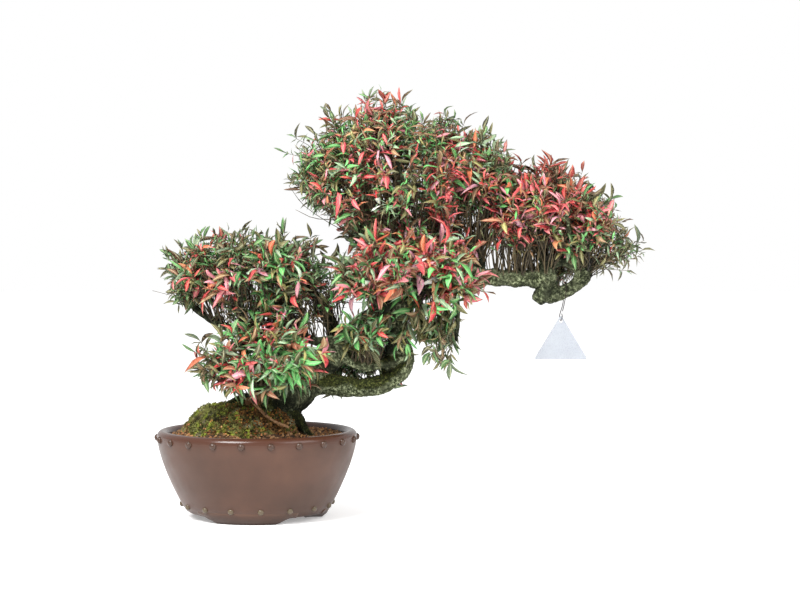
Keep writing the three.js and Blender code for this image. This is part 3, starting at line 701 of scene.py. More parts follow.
def carveBark(mesh, stations):
    tree = KDTree(len(stations))
    for i, station in enumerate(stations):
        tree.insert(station[0], i)
    tree.balance()
    marks = ("furrow", "moss", "shade", "bare")
    for name in marks:
        mesh.attributes.new(name, "FLOAT", "POINT")
    furrow, moss, shade, bare = (mesh.attributes[name].data for name in marks)
    normals = [vertex.normal.copy() for vertex in mesh.vertices]
    for i, (vertex, normal) in enumerate(zip(mesh.vertices, normals)):
        at = vertex.co
        _, girth, ahead, name = stations[tree.find(at)[1]]
        x, _, z = unspot(at)
        height, free = barkHeight(at, ahead), awayFromThread(x, z)
        depth = min(barkForm["depth"] * mm, girth * barkForm["depthShare"])
        knobHeight = min(barkForm["knobDepth"] * mm, girth * barkForm["knobShare"])
        knob = noise.noise(at * barkForm["knobs"]) * knobHeight * free
        knob -= threadRest["low"] * mm * (1 - free)
        vertex.co = at + normal * ((height - 0.15) * depth * (0.25 + 0.75 * free) + knob)
        furrow[i].value = min(max(0.42 + 0.5 * height, 0), 1)
        patchy = noise.noise(vertex.co * 55) + 0.5 * noise.noise(vertex.co * 210)
        low, top = smoothStep(190, 105, z), smoothStep(-0.5, 0.6, normal.z)
        readiness = limbMoss.get(name, limbMoss["usual"])
        cover = top * (0.55 + 0.7 * low) * readiness + 0.45 * patchy + 0.25 * low - 0.12
        isRoot = name == "strayRoot"
        moss[i].value = 0 if isRoot else smoothStep(0.35, 0.6, cover)
        bare[i].value = 1 if isRoot else 0
        # Painted shade: darkest on the shaded limbs and towards the trunk's base, in patches, and lighter
        # on upward faces low down
        dim = limbShades.get(name, limbShades["usual"])
        dim += (limbShades["usual"] - dim) * smoothStep(75, 45, x)
        shade[i].value = min(max(dim + 0.8 * patchy - 0.4 * top * low, 0), 1)


def makeTrunk():
    trunk = weldedLimbs()
    carveBark(trunk.data, limbStations())
    trunk.data.materials.append(barkMaterial())
    finish(trunk, "bark", "trunk")
    print("trunk", len(trunk.data.polygons), "faces")
    return trunk


trunk = makeTrunk()
print("trunk and limbs grown")


# Soil, moss and grains
soilForm = {
    "level": 82, "grains": 3000, "sizes": (0.9, 2.0), "edge": 86.3, "above": 200,
    "thinning": (0.1, 0.55), "lifts": (-0.2, 1.1), "shades": (0.35, 1.15),
    "mound": {"x": -15, "y": -6, "halfWidth": 63, "halfDepth": 56, "height": 30},
    "colours": [srgb(20, 13, 8), srgb(66, 42, 24), srgb(122, 82, 48)], "dust": srgb(170, 132, 92),
    "grainColours": [srgb(168, 110, 62), srgb(134, 82, 44), srgb(188, 140, 86), srgb(92, 58, 34),
                     srgb(140, 104, 72), srgb(40, 26, 17)],
}
mossForm = {
    "cover": 0.7, "edge": 1.6, "sink": 0.8, "skirt": 2.4, "tufts": 5600, "limbTufts": 3000,
    "length": 2.3, "litter": 2600, "lumps": [(60, 3.2), (150, 3.4), (330, 2.6), (700, 1.6)],
    "bareScale": 70, "bareBelow": -0.2, "plainTufts": 0.3, "litterSizes": (0.7, 1.7),
    "mossyLimb": 0.6,
    "dry": srgb(112, 88, 54), "mottle": [srgb(34, 30, 20), srgb(215, 212, 186), srgb(255, 255, 244)],
    "tuftColours": [srgb(88, 92, 40), srgb(122, 124, 60), srgb(64, 66, 30), srgb(142, 140, 80),
                    srgb(104, 84, 52)],
}
mossColours = {"creviceShade": srgb(26, 23, 12), "dull": srgb(110, 112, 66), "bright": srgb(150, 164, 66),
               "earth": srgb(122, 90, 58), "stone": srgb(146, 142, 120)}


def moundShare(x, y):
    mound = soilForm["mound"]
    away = ((x - mound["x"]) / mound["halfWidth"]) ** 2 + ((y - mound["y"]) / mound["halfDepth"]) ** 2
    return 1 - away * away if away < 1 else 0


def soilHeight(x, y):
    return soilForm["level"] + soilForm["mound"]["height"] * moundShare(x, y)


def dropOnto(surface, x, y):
    return surface.ray_cast(spot(x, y, soilForm["above"]), down)[:2]


def bedHeight(bed, x, y):
    hit, _ = dropOnto(bed, x, y)
    return soilHeight(x, y) if hit is None else max(soilHeight(x, y), unspot(hit)[2])


def grainMaterial():
    material, tree, shader = newMaterial("fired_granules", 0.95)
    dust = noiseAt(tree, 1500, 5)
    dusty = ramp(tree, dust, (0.35, 0.0), (0.8, 0.5))
    skin = mixColour(tree, dusty, attributeOf(tree, "tint", "Color"), soilForm["dust"])
    fill(tree, shader, {"Base Color": skin})
    bump(tree, shader, dust, 0.0003, 0.8)
    return material


def soilMaterial():
    material, tree, shader = newMaterial("soil_bed", 1)
    clod = noiseAt(tree, 320, 6)
    fill(tree, shader, {"Base Color": ramp(tree, clod, *zip((0.34, 0.58, 0.74), soilForm["colours"]))})
    bump(tree, shader, clod, 0.0015, 0.9)
    return material


def mossMaterial():
    material, tree, shader = newMaterial("moss", 0.95)
    patch = ramp(tree, noiseAt(tree, 60, 4), (0.52, 0.0), (0.7, 0.4))
    dry = mixColour(tree, patch, attributeOf(tree, "tint", "Color"), mossForm["dry"])
    # Light tips, with painted shade in the hollows between them
    mossTipHeight = noiseAt(tree, 560, 7, 0.8)
    mottle = ramp(tree, mossTipHeight, *zip((0.4, 0.5, 0.58), mossForm["mottle"]))
    fill(tree, shader, {
        "Base Color": mixColour(tree, 1.0, dry, mottle, "MULTIPLY"),
        "Specular IOR Level": 0.15,
    })
    bump(tree, shader, mossTipHeight, 0.0012, 1)
    return material


def grainForm(rand):
    bm = bmesh.new()
    bmesh.ops.create_icosphere(bm, subdivisions=1, radius=1)
    for vert in bm.verts:
        vert.co *= rand.uniform(0.72, 1.12)
    bm.verts.layers.float_color.new("tint")
    return meshOf(bm, "grain_form", smooth=False)


# A copy of one of the grains, and the turn that it lies at
def pickGrain(rand, forms):
    copy = rand.choice(forms).copy()
    return copy, Matrix.Rotation(rand.uniform(0, 6.28), 4, Vector((rand.random(), rand.random(), 0.4)))


def makeSoil(bed):
    rand = random.Random(5)
    soil = nodes["soil"]
    soil.data.materials.clear()
    soil.data.materials.append(soilMaterial())
    forms = [grainForm(rand) for _ in range(5)]
    bm = bmesh.new()
    for _ in range(soilForm["grains"]):
        turn, away = rand.uniform(0, math.tau), soilForm["edge"] * math.sqrt(rand.random())
        if moundShare(away * math.cos(turn), away * math.sin(turn)) > rand.uniform(*soilForm["thinning"]):
            continue
        size = rand.uniform(*soilForm["sizes"])
        copy, spin = pickGrain(rand, forms)
        away = min(away, soilForm["edge"] - size)
        x, y = away * math.cos(turn), away * math.sin(turn)
        lift = bedHeight(bed, x, y) + rand.uniform(*soilForm["lifts"])
        copy.transform(Matrix.Translation(spot(x, y, lift)) @ spin
                       @ Matrix.Diagonal((size * mm, size * 0.9 * mm, size * 0.8 * mm, 1)))
        paint(copy, Vector(rand.choice(soilForm["grainColours"])) * rand.uniform(*soilForm["shades"]))
        addCopy(bm, copy)
    grains = newPiece("soil_grains", meshOf(bm, "soil_grains", smooth=False), grainMaterial())
    finish(grains, "soil")


# Patches of green, dull and bare earth over the mound
def patchColour(at):
    green = noise.noise(at * 95 + Vector((3, 3, 3)))
    earth = noise.noise(at * 80 + Vector((9, 5, 1))) + 0.006 * (unspot(at)[0] + 6)
    colour = Vector(mossColours["dull"])
    colour = colour.lerp(Vector(mossColours["bright"]), smoothStep(0.08, 0.3, green))
    colour = colour.lerp(Vector(mossColours["earth"]), smoothStep(0.1, 0.26, earth))
    stone = noise.noise(at * 130 + Vector((1, 8, 4)))
    return colour.lerp(Vector(mossColours["stone"]), smoothStep(0.3, 0.42, stone))


def mossGround(bed):
    mound = soilForm["mound"]
    bm = bmesh.new()
    bmesh.ops.create_grid(bm, x_segments=100, y_segments=92, size=1)
    tint = bm.verts.layers.float_color.new("tint")
    for vert in bm.verts:
        # The square grid is drawn out to the mound's round edge
        u, v = vert.co.x, vert.co.y
        roundU, roundV = u * math.sqrt(1 - v * v / 2), v * math.sqrt(1 - u * u / 2)
        x = mound["x"] + roundU * (mound["halfWidth"] + 1)
        y = mound["y"] + roundV * (mound["halfDepth"] + 1)
        flat = spot(x, y, 0)
        lump = sum(noise.noise(flat * scale) * size for scale, size in mossForm["lumps"])
        rim = smoothStep(0.0, 0.22, moundShare(x, y))
        z = bedHeight(bed, x, y) - mossForm["sink"] + rim * (mossForm["cover"] + mossForm["edge"] + lump)
        vert.co = spot(x, y, z)
        colour = patchColour(vert.co)
        # Painted shade: the ground darkens towards the crevice shade colour in the low hollows between
        # lumps
        shade = smoothStep(-2.6, 2.2, lump + 1.6 * noise.noise(flat * 520))
        vert[tint] = (*(Vector(mossColours["creviceShade"]).lerp(colour, shade)), 1)
    skirt = bmesh.ops.extrude_edge_only(bm, edges=[e for e in bm.edges if e.is_boundary])
    moved = [v for v in skirt["geom"] if isinstance(v, bmesh.types.BMVert)]
    bmesh.ops.translate(bm, verts=moved, vec=(0, 0, -mossForm["skirt"] * mm))
    bmesh.ops.holes_fill(bm, edges=[e for e in bm.edges if e.is_boundary], sides=0)
    bmesh.ops.recalc_face_normals(bm, faces=bm.faces[:])
    return meshOf(bm, "moss_ground")


def tuftForm():
    bm = bmesh.new()
    bmesh.ops.create_cone(bm, cap_ends=True, segments=4, radius1=0.3, radius2=0.02, depth=1)
    bmesh.ops.translate(bm, verts=bm.verts[:], vec=(0, 0, 0.5))
    bm.verts.layers.float_color.new("tint")
    return meshOf(bm, "tuft_form")


def addTuft(bm, form, rand, at, normal, length, colour):
    turn = (normal + jitter(rand, 0.55)).to_track_quat("Z", "Y").to_matrix().to_4x4()
    copy = form.copy()
    copy.transform(Matrix.Translation(at - normal * 0.2 * mm) @ turn
                   @ Matrix.Diagonal((length * 0.75, length * 0.75, length, 1)))
    paint(copy, colour)
    addCopy(bm, copy)


# A random place on the mound, in x and y, and the surface that lies there
def drawPlace(rand, surface):
    mound = soilForm["mound"]
    turn, away = rand.uniform(0, math.tau), math.sqrt(rand.random())
    x = mound["x"] + away * math.cos(turn) * mound["halfWidth"]
    y = mound["y"] + away * math.sin(turn) * mound["halfDepth"]
    return x, y, *dropOnto(surface, x, y)


def addLitter(bm, rand, surface):
    forms = [grainForm(rand) for _ in range(4)]
    for _ in range(mossForm["litter"]):
        x, y, at, normal = drawPlace(rand, surface)
        # It lies thickest at the front right
        if at is None or rand.random() > 0.3 + 0.02 * (x + 15) - 0.012 * (y + 10):
            continue
        size = rand.uniform(*mossForm["litterSizes"]) * mm
        copy, spin = pickGrain(rand, forms)
        copy.transform(Matrix.Translation(at + normal * 0.3 * mm) @ spin
                       @ Matrix.Diagonal((size, size * 0.9, size * 0.7, 1)))
        paint(copy, rand.choice(soilForm["grainColours"]))
        addCopy(bm, copy)


def makeMoss(trunk, bed):
    rand = random.Random(11)
    ground = mossGround(bed)
    surface = treeOf(ground)
    bm = bmesh.new()
    addCopy(bm, ground)
    form, colours, length = tuftForm(), mossForm["tuftColours"], mossForm["length"]
    for _ in range(mossForm["tufts"]):
        _, _, at, normal = drawPlace(rand, surface)
        if at is None or noise.noise(at * mossForm["bareScale"]) < mossForm["bareBelow"]:
            continue
        colour = patchColour(at) * rand.uniform(0.4, 1.8)
        if rand.random() < mossForm["plainTufts"]:
            colour = rand.choice(colours)
        addTuft(bm, form, rand, at, normal, length * rand.uniform(0.5, 1.3) * mm, colour)
    addLitter(bm, rand, surface)
    cover = trunk.data.attributes["moss"].data
    mossy = [v for v in trunk.data.vertices if cover[v.index].value > mossForm["mossyLimb"]]
    for vertex in rand.sample(mossy, min(mossForm["limbTufts"], len(mossy))):
        addTuft(bm, form, rand, vertex.co, vertex.normal, length * rand.uniform(0.4, 0.85) * mm,
                Vector(rand.choice(colours)) * rand.uniform(0.2, 0.9))
    moss = newPiece("moss_cover", meshOf(bm, "moss_cover"), mossMaterial())
    finish(moss, "soil")
    print("moss", len(moss.data.polygons), "faces")


bed = treeOf(nodes["soil"].data)
makeSoil(bed)
makeMoss(trunk, bed)
print("soil and moss laid")


# Foliage
foliage = {
    "rings": {
        "tiny": [(0, 0.012), (0.42, 0.11), (1, 0)],
        "small": [(0, 0.012), (0.28, 0.095), (0.62, 0.112), (1, 0)],
        "large": [(0, 0.012), (0.14, 0.066), (0.34, 0.13), (0.58, 0.145), (0.82, 0.085), (1, 0)],
    },
    "bends": {"fold": (0.25, 1.1), "curl": (-0.2, 0.75), "twist": (-1.4, 1.4), "wavy": (0, 0.5),
              "sway": (-0.2, 0.2)},
    "forms": 14,
    "smallFrom": 9.5,
    "largeFrom": 14,
    "longShare": 0.08,
    "longGrowth": 1.4,
    "longest": 21,
    "redGrowth": 1.18,
    "leafThick": 0.014,
    "leafyLength": 24,
    "pairEvery": 0.62,
    "bareShare": 0.15,
    "inset": 5,
    "margins": [3, 8, 10, 11],
    "furthest": 402,
    "shell": 0.4,
    "tries": 12,
    "forks": 2,
    "forkLength": (15, 30),
    "twig": {"sides": 4, "steps": 6, "girth": 0.62},
    "side": {"sides": 3, "steps": 3, "girth": 0.4},
}
# Clumps of twig ends: middle, half sizes, lowest rise, numbers of leafy and bare twigs, leaf length,
# the place on the wood that the twigs rise from, how far they spread along it, and how red and
# how green the leaves are
clumps = {
    "crown": [(132, 0, 338), (114, 84, 98), -0.45, 240, 150, (7.5, 15.5), (146, 0, 250),
              (0.55, 0.3, 0.12), (1.8, 1)],
    "crownRight": [(172, -4, 382), (44, 50, 40), -0.4, 24, 10, (7.5, 15), (186, 0, 290),
                   (0.3, 0.3, 0.2), (0.9, 0.8)],
    "crownLeft": [(76, 0, 356), (44, 46, 46), -0.6, 28, 16, (7.5, 15), (118, 0, 262), (0.3, 0.3, 0.2),
                  (0.4, 0.9)],
    "shoulder": [(226, 0, 336), (48, 50, 52), -0.5, 66, 44, (8, 16.5), (215, 0, 256), (0.5, 0.3, 0.1),
                 (2.6, 0.9)],
    "heart": [(150, -14, 276), (88, 50, 34), -0.6, 54, 60, (8, 16), (146, 0, 232), (0.6, 0.3, 0.1),
              (2.0, 0.9)],
    "right": [(292, -4, 302), (66, 66, 62), -0.15, 108, 90, (8, 17), (288, -8, 250), (0.55, 0.3, 0.08),
              (3.6, 0.07)],
    "armBroom": [(262, -8, 280), (44, 40, 30), -0.1, 18, 100, (8, 14), (262, -8, 246), (0.8, 0.3, 0.1),
                 (1.2, 0.2)],
    "tip": [(338, -8, 278), (58, 54, 44), -0.2, 46, 50, (8, 16), (326, -8, 248), (0.2, 0.2, 0.1),
            (1.0, 0.35)],
    "tipUnder": [(352, -8, 254), (44, 30, 20), -0.6, 8, 12, (8, 14), (328, -8, 242), (0.2, 0.2, 0.1),
                 (0.6, 0.3)],
    "left": [(-8, 2, 242), (90, 68, 56), -0.2, 120, 80, (8, 17.5), (0, 2, 186), (0.6, 0.4, 0.05),
             (0.8, 0.6)],
    "leftEdge": [(-74, 0, 228), (26, 36, 32), -0.9, 18, 6, (9, 18), (-66, 0, 214), (0.2, 0.2, 0.1),
                 (0.3, 0.8)],
    "leftBroom": [(52, -8, 232), (44, 44, 36), -0.3, 18, 80, (8, 15), (72, 0, 186), (0.5, 0.3, 0.1),
                  (0.9, 0.7)],
    "leftUnder": [(10, -16, 208), (62, 40, 26), -0.8, 20, 40, (9, 17), (10, -4, 178), (0.6, 0.4, 0.05),
                  (0.6, 0.8)],
    "front": [(4, -58, 156), (64, 40, 42), -0.7, 66, 30, (10, 21), (8, -34, 124), (0.5, 0.5, 0.1),
              (1.4, 0.8)],
    "middle": [(150, -44, 238), (74, 48, 42), -0.7, 72, 34, (10, 21), (150, -14, 212), (0.6, 0.5, 0.1),
               (3.4, 1.15)],
    "hollow": [(112, -34, 184), (30, 26, 26), -0.9, 14, 20, (10, 20), (110, -14, 160), (0.5, 0.4, 0.1),
               (0.4, 0.9)],
    "behind": [(104, 26, 154), (48, 16, 22), -0.9, 40, 70, (9, 17), (104, 6, 178), (0.7, 0.4, 0.2),
               (0.4, 0.8)],
    "holeBack": [(306, 20, 242), (18, 12, 16), -0.9, 10, 40, (7, 13), (310, 14, 262), (0.6, 0.5, 0.3),
                 (0.3, 0.5)],
    "droop": [(170, -46, 198), (34, 34, 40), -1, 15, 6, (11, 20), (180, -24, 226), (0.5, 0.5, 0.2),
              (0.2, 1)],
}
# Outline of the whole canopy from the front, x and z
outline = [
    (35, 367), (43, 383), (63, 400), (88, 416), (128, 429), (153, 424), (183, 404), (223, 390),
    (253, 366), (283, 358), (318, 348), (343, 328), (363, 301), (383, 278), (399, 268), (383, 258),
    (353, 238), (243, 232), (224, 216), (223, 198), (188, 160), (173, 136), (143, 142), (73, 124),
    (23, 102), (-22, 112), (-44, 127), (-60, 155), (-50, 172), (-32, 195), (-68, 212), (-88, 214),
    (-90, 250), (-80, 278), (-42, 284), (-7, 287), (33, 281), (52, 272), (66, 258), (80, 252),
    (96, 266), (72, 290), (47, 312), (27, 338),
]
hangingClumps = ["droop"]
# The hanging spray leans to olive and dark olive leaves: partly their own tone, partly painted shade
# beneath the canopy
hangingMix = {"green": 18, "greyGreen": 14, "olive": 26, "darkOlive": 18, "brown": 8, "red": 2}
leafColours = {
    "green": srgb(76, 140, 74), "brightGreen": srgb(90, 172, 92), "greyGreen": srgb(136, 166, 130),
    "mint": srgb(156, 188, 152), "olive": srgb(128, 122, 72), "darkOlive": srgb(74, 72, 42),
    "maroon": srgb(128, 70, 52), "brown": srgb(136, 100, 72), "red": srgb(240, 62, 74),
    "pink": srgb(248, 120, 136), "orange": srgb(238, 106, 72),
}
leafSkin = {"edge": srgb(92, 84, 70), "edgeDepth": (2, 42), "edgeShare": 0.42, "brightest": 0.72,
            "dark": (0.02, 0.02, 0.01), "vein": srgb(208, 216, 170), "rib": srgb(214, 212, 166)}
twigSkin = {"bark": srgb(76, 65, 42), "fleck": srgb(150, 132, 108)}
reds = ["red", "pink", "orange", "maroon"]
greens = ["green", "brightGreen", "greyGreen", "mint"]
leafMixes = {
    "leaf_green": {"green": 24, "brightGreen": 16, "greyGreen": 13, "mint": 5, "olive": 12,
                   "darkOlive": 10, "maroon": 5, "brown": 8, "red": 6, "pink": 5, "orange": 2},
    "leaf_olive": {"green": 19, "brightGreen": 8, "greyGreen": 13, "mint": 4, "olive": 17,
                   "darkOlive": 12, "maroon": 8, "brown": 11, "red": 7, "pink": 5, "orange": 2},
    "leaf_red": {"green": 13, "brightGreen": 5, "greyGreen": 9, "mint": 2, "olive": 10,
                 "darkOlive": 7, "maroon": 8, "brown": 9, "red": 15, "pink": 11, "orange": 4},
}


def leafMaterial(name):
    material, tree, shader = newMaterial(name, 0.45)
    across = addNode(tree, "SeparateXYZ", {"Vector": addNode(tree, "UVMap").outputs["UV"]})
    off = mathOf(tree, "ABSOLUTE", mathOf(tree, "SUBTRACT", across.outputs["X"], 0.5))
    # Side veins leave the midrib at a slant
    slant = mathOf(tree, "MULTIPLY_ADD", off, 0.55, across.outputs["Y"])
    veins = mathOf(tree, "SINE", mathOf(tree, "MULTIPLY", slant, 58.0))
    mottle = noiseAt(tree, 420, 4)
    mottled = ramp(tree, mottle, (0.35, 0.0), (0.75, 0.22))
    body = mixColour(tree, mottled, attributeOf(tree, "tint", "Color"), leafSkin["dark"])
    body = mixColour(tree, ramp(tree, veins, (0.75, 0.0), (0.98, 0.34)), body, leafSkin["vein"])
    body = mixColour(tree, ramp(tree, off, (0.015, 0.5), (0.08, 0.0)), body, leafSkin["rib"])
    fill(tree, shader, {
        "Base Color": body,
        "Roughness": ramp(tree, mottle, (0.3, 0.34), (0.7, 0.54)),
        "Subsurface Weight": 0.12,
        "Subsurface Radius": (0.0015, 0.001, 0.0005),
        "Specular IOR Level": 0.32,
    })
    bump(tree, shader, veins, 0.00015, 0.5)
    return material


def twigMaterial():
    material, tree, shader = newMaterial("twig_bark", 0.8)
    fleck = noiseAt(tree, 800, 4)
    light = ramp(tree, fleck, (0.5, 0.0), (0.75, 0.3))
    skin = mixColour(tree, light, attributeOf(tree, "tint", "Color"), twigSkin["fleck"])
    fill(tree, shader, {"Base Color": skin})
    bump(tree, shader, fleck, 0.0002, 0.7)
    return material


# A unit leaf along X: a four-sided blade with its rings at the given places and half widths
def leafForm(rand, rings):
    fold, curl, twist, wavy, sway = (rand.uniform(*limits) for limits in foliage["bends"].values())
    bm = bmesh.new()
    bmesh.ops.create_cone(bm, cap_ends=True, segments=4, radius1=1, radius2=0, depth=1)
    bmesh.ops.subdivide_edges(bm, edges=longEdges(bm), cuts=len(rings) - 2)
    uv = bm.loops.layers.uv.new("UVMap")
    bm.verts.layers.float_color.new("tint")
    placed = {}
    for vert in bm.verts:
        t, halfWidth = rings[round((vert.co.z + 0.5) * (len(rings) - 1))]
        girth = max(0.5 - vert.co.z, 0.01)
        side, above = round(vert.co.x / girth), round(vert.co.y / girth)
        placed[vert] = (0.5 + side / 2, t)
        y = side * halfWidth
        z = (above * foliage["leafThick"] * (0.4 + 0.6 * math.sin(math.pi * max(t, 0.05)))
             + abs(side) * halfWidth * fold + wavy * 0.2 * halfWidth * side * math.sin(9 * t))
        turn = twist * t
        y, z = (y * math.cos(turn) - z * math.sin(turn), y * math.sin(turn) + z * math.cos(turn))
        vert.co = (t, y + sway * math.sin(math.pi * t), z - curl * t * t)
    for loop in (loop for face in bm.faces for loop in face.loops):
        loop[uv].uv = placed[loop.vert]
    bmesh.ops.recalc_face_normals(bm, faces=bm.faces[:])
    return meshOf(bm, "leaf_form")


def leafForms():
    rand = random.Random(3)
    return {kind: [leafForm(rand, rings) for _ in range(foliage["forms"])]
            for kind, rings in foliage["rings"].items()}


def addLeaf(bm, forms, rand, base, along, face, length, tint):
    z = face - along * face.dot(along)
    if z.length < 0.05:
        z = along.orthogonal()
    z.normalize()
    turn = Matrix((along, z.cross(along), z)).transposed().to_4x4()
    kind = "tiny" if length < foliage["smallFrom"] * mm else "small"
    copy = rand.choice(forms["large" if length > foliage["largeFrom"] * mm else kind]).copy()
    copy.transform(Matrix.Translation(base) @ turn
                   @ Matrix.Diagonal((length, length * rand.uniform(0.75, 1.3), length, 1)))
    paint(copy, tint)
    addCopy(bm, copy)


# How far a place lies inside the outline, or a negative distance outside it
def depthInside(x, z):
    inside = False
    nearest = 1000
    for (x1, z1), (x2, z2) in zip(outline, outline[1:] + outline[:1]):
        if (z1 > z) != (z2 > z) and x < x1 + (x2 - x1) * (z - z1) / (z2 - z1):
            inside = not inside
        run = (x2 - x1) ** 2 + (z2 - z1) ** 2
        t = min(max(((x - x1) * (x2 - x1) + (z - z1) * (z2 - z1)) / run, 0), 1)
        nearest = min(nearest, math.hypot(x - x1 - t * (x2 - x1), z - z1 - t * (z2 - z1)))
    return nearest if inside else -nearest


# Leaves are redder well inside the outline, and the red ones stand together; painted light makes them
# brighter there and darker near the outline's edge, where they also turn browner
def chooseTint(rand, tone, at):
    x, _, z = unspot(at)
    deep = smoothStep(*leafSkin["edgeDepth"], depthInside(x, z))
    redness = tone["red"] * (0.3 + 0.9 * deep) * (0.2 + 1.9 * smoothStep(-0.1, 0.4, noise.noise(at * 24)))
    factors = {**dict.fromkeys(reds, redness), **dict.fromkeys(greens, tone["green"])}
    weights = [share * factors.get(name, 1) for name, share in tone["mix"].items()]
    name = rand.choices(list(tone["mix"]), weights)[0]
    low, high = (0.7, 1.35) if name in reds else (0.5, 1.5)
    tint = Vector(leafColours[name]).lerp(Vector(leafSkin["edge"]), leafSkin["edgeShare"] * (1 - deep))
    tint = tint * rand.uniform(low, high) * tone["light"] * (0.7 + 0.56 * deep)
    return tuple(min(c, leafSkin["brightest"]) for c in tint), foliage["redGrowth"] if name in reds else 1


def leafLength(rand, limits):
    low, high = limits
    length = low + (high - low) * rand.random() ** 1.7
    if rand.random() < foliage["longShare"]:
        length *= foliage["longGrowth"]
    return min(length, foliage["longest"]) * mm


def drawLeaf(bm, forms, rand, at, toward, face, leafSize, tone):
    tint, growth = chooseTint(rand, tone, at)
    length = leafLength(rand, leafSize) * growth
    if unspot(at + toward.normalized() * length)[0] < foliage["furthest"]:
        addLeaf(bm, forms, rand, at, toward.normalized(), face, length, tint)


# Pairs of leaves, each turned a quarter from the last, and one leaf at the twig's end
def dressTwig(bm, forms, rand, curve, length, first, leafSize, tone, hang):
    pairs = max(2, round(length * (1 - first) / (leafSize[0] * foliage["pairEvery"] * mm)))
    turn = rand.uniform(0, 3.14)
    for i in range(pairs):
        t = first + (1 - first) * (i + 0.6) / pairs
        ahead = heading(curve, t, 0.03)
        side = ahead.orthogonal().normalized()
        side.rotate(Matrix.Rotation(turn + i * 1.57, 3, ahead))
        for way in (1, -1):
            if rand.random() < foliage["bareShare"]:
                continue
            toward = ahead * rand.uniform(0.2, 1) + side * way + jitter(rand, 0.4)
            toward.z -= hang
            face = ahead + Vector((0, 0, 0.8)) + jitter(rand, 0.6)
            drawLeaf(bm, forms, rand, curve(t), toward, face, leafSize, tone)
    ahead = heading(curve, 1, 0.06) + jitter(rand, 0.25)
    drawLeaf(bm, forms, rand, curve(1), ahead, up + jitter(rand, 0.9), leafSize, tone)


def drawTip(rand, middle, reach, low):
    for _ in range(foliage["tries"]):
        rise = low + (1 - low) * rand.random()
        turn = rand.uniform(0, math.tau)
        flat = math.sqrt(max(1 - rise * rise, 0))
        way = Vector((math.cos(turn) * flat, math.sin(turn) * flat, rise))
        share = 1 - foliage["shell"] * rand.random() ** 1.6
        share *= 0.96 + 0.1 * noise.noise(way * 2.3 + middle * 9)
        tip = middle + Vector(a * b for a, b in zip(way, reach)) * share
        x, _, z = unspot(tip)
        if depthInside(x, z) > rand.choice(foliage["margins"]):
            break
    return tip


def nearestClump(point):
    return min(clumps, key=lambda name: (spot(*clumps[name][0]) - point).length)


# Every twig end goes to the spray whose middle is nearest
def spreadTips(hearts):
    tips = {node: [(heart, nearestClump(heart), True)] for node, heart in hearts.items()}
    for name, (at, size, low, leafy, bare, *_) in clumps.items():
        rand = random.Random("clump " + name)
        reach = (Vector(size) - Vector((1, 1, 1)) * foliage["inset"]) * mm
        for i in range(leafy + bare):
            tip = drawTip(rand, spot(*at), reach, low)
            nearest = min(hearts, key=lambda n: (hearts[n] - tip).length)
            tips[nearest].append((tip, name, i < leafy))
    return tips


# A twig's curve, from the nearest bark to its tip, as the four points of a bezier
def twigPoints(rand, bark, tip, name, leafy):
    at, size, _, _, _, _, source, spread, _ = clumps[name]
    base = spot(*at) - Vector((0, 0, size[2] * 0.9 * mm))
    source = spot(*source)
    toWood = source + Vector(s * d for s, d in zip(spread, tip - source)) + jitter(rand, 8 * mm)
    start, normal, _, _ = bark.find_nearest(toWood)
    start = start - normal * 1.2 * mm
    span = (tip - start).length
    straight = (tip - start).normalized()
    outward = ((tip - base).normalized() + Vector((0, 0, 0.35))).normalized()
    if name in hangingClumps:
        outward = Vector((rand.uniform(-0.4, 0.4), -0.3, -1)).normalized()
    lift = Vector((0, 0, 0.16 if leafy else 0.06))
    loose = 1 if leafy else 1.8
    first = start + (straight * 0.3 + normal * 0.08 + lift + jitter(rand, 0.12 * loose)) * span
    last = tip - (straight * 0.16 + outward * 0.14) * span + jitter(rand, 0.08 * loose * span)
    if not leafy:
        tip = last + (tip - last) * rand.uniform(0, 0.7)
    return span, (start, first, last, tip)


def growTwig(bm, forms, tubes, rand, bark, tip, name, leafy, mix):
    at, size, _, _, _, leafSize, _, _, (red, green) = clumps[name]
    hanging = name in hangingClumps
    twig, side = foliage["twig"], foliage["side"]
    span, points = twigPoints(rand, bark, tip, name, leafy)
    main = partial(bezier, *points)
    girth = twig["girth"] * rand.uniform(0.75, 1.45) * mm
    tube = bendTube(tubes["twig"], main, lambda t: girth * (1 - 0.55 * t), twig["steps"])
    brown = Vector(twigSkin["bark"]) * rand.uniform(0.04, 1.5)
    paint(tube, brown)
    addCopy(bm, tube)
    # Painted shade: leaves deep in a clump are darker than those at its edge
    out = Vector((a / b for a, b in zip(points[-1] - spot(*at), Vector(size) * mm))).length
    tone = {"mix": mix, "red": red, "green": green, "light": 0.55 + 0.65 * smoothStep(0.45, 0.9, out)}
    hang = 0.9 if hanging else rand.uniform(-0.2, 0.35)
    share = min(0.85, max(0.3, 1 - foliage["leafyLength"] * mm / span))
    if leafy:
        dressTwig(bm, forms, rand, main, span, share, leafSize, tone, hang)
    for _ in range(foliage["forks"] if leafy else 1):
        t = rand.uniform(max(share - 0.3, 0.25), 0.9)
        fork, ahead = main(t), heading(main, t, 0.03)
        way = (ahead * 1.1 + jitter(rand, 0.7) + Vector((0, 0, -0.3 if hanging else 0.3))).normalized()
        length = rand.uniform(*foliage["forkLength"]) * mm
        end = fork + way * length
        branch = partial(bezier, fork, fork + ahead * length * 0.35, end - way * length * 0.3, end)
        tube = bendTube(tubes["side"], branch, lambda s: side["girth"] * (1 - 0.4 * s) * mm, side["steps"])
        paint(tube, brown * 1.15)
        addCopy(bm, tube)
        if leafy:
            dressTwig(bm, forms, rand, branch, length, 0.45, leafSize, tone, hang)


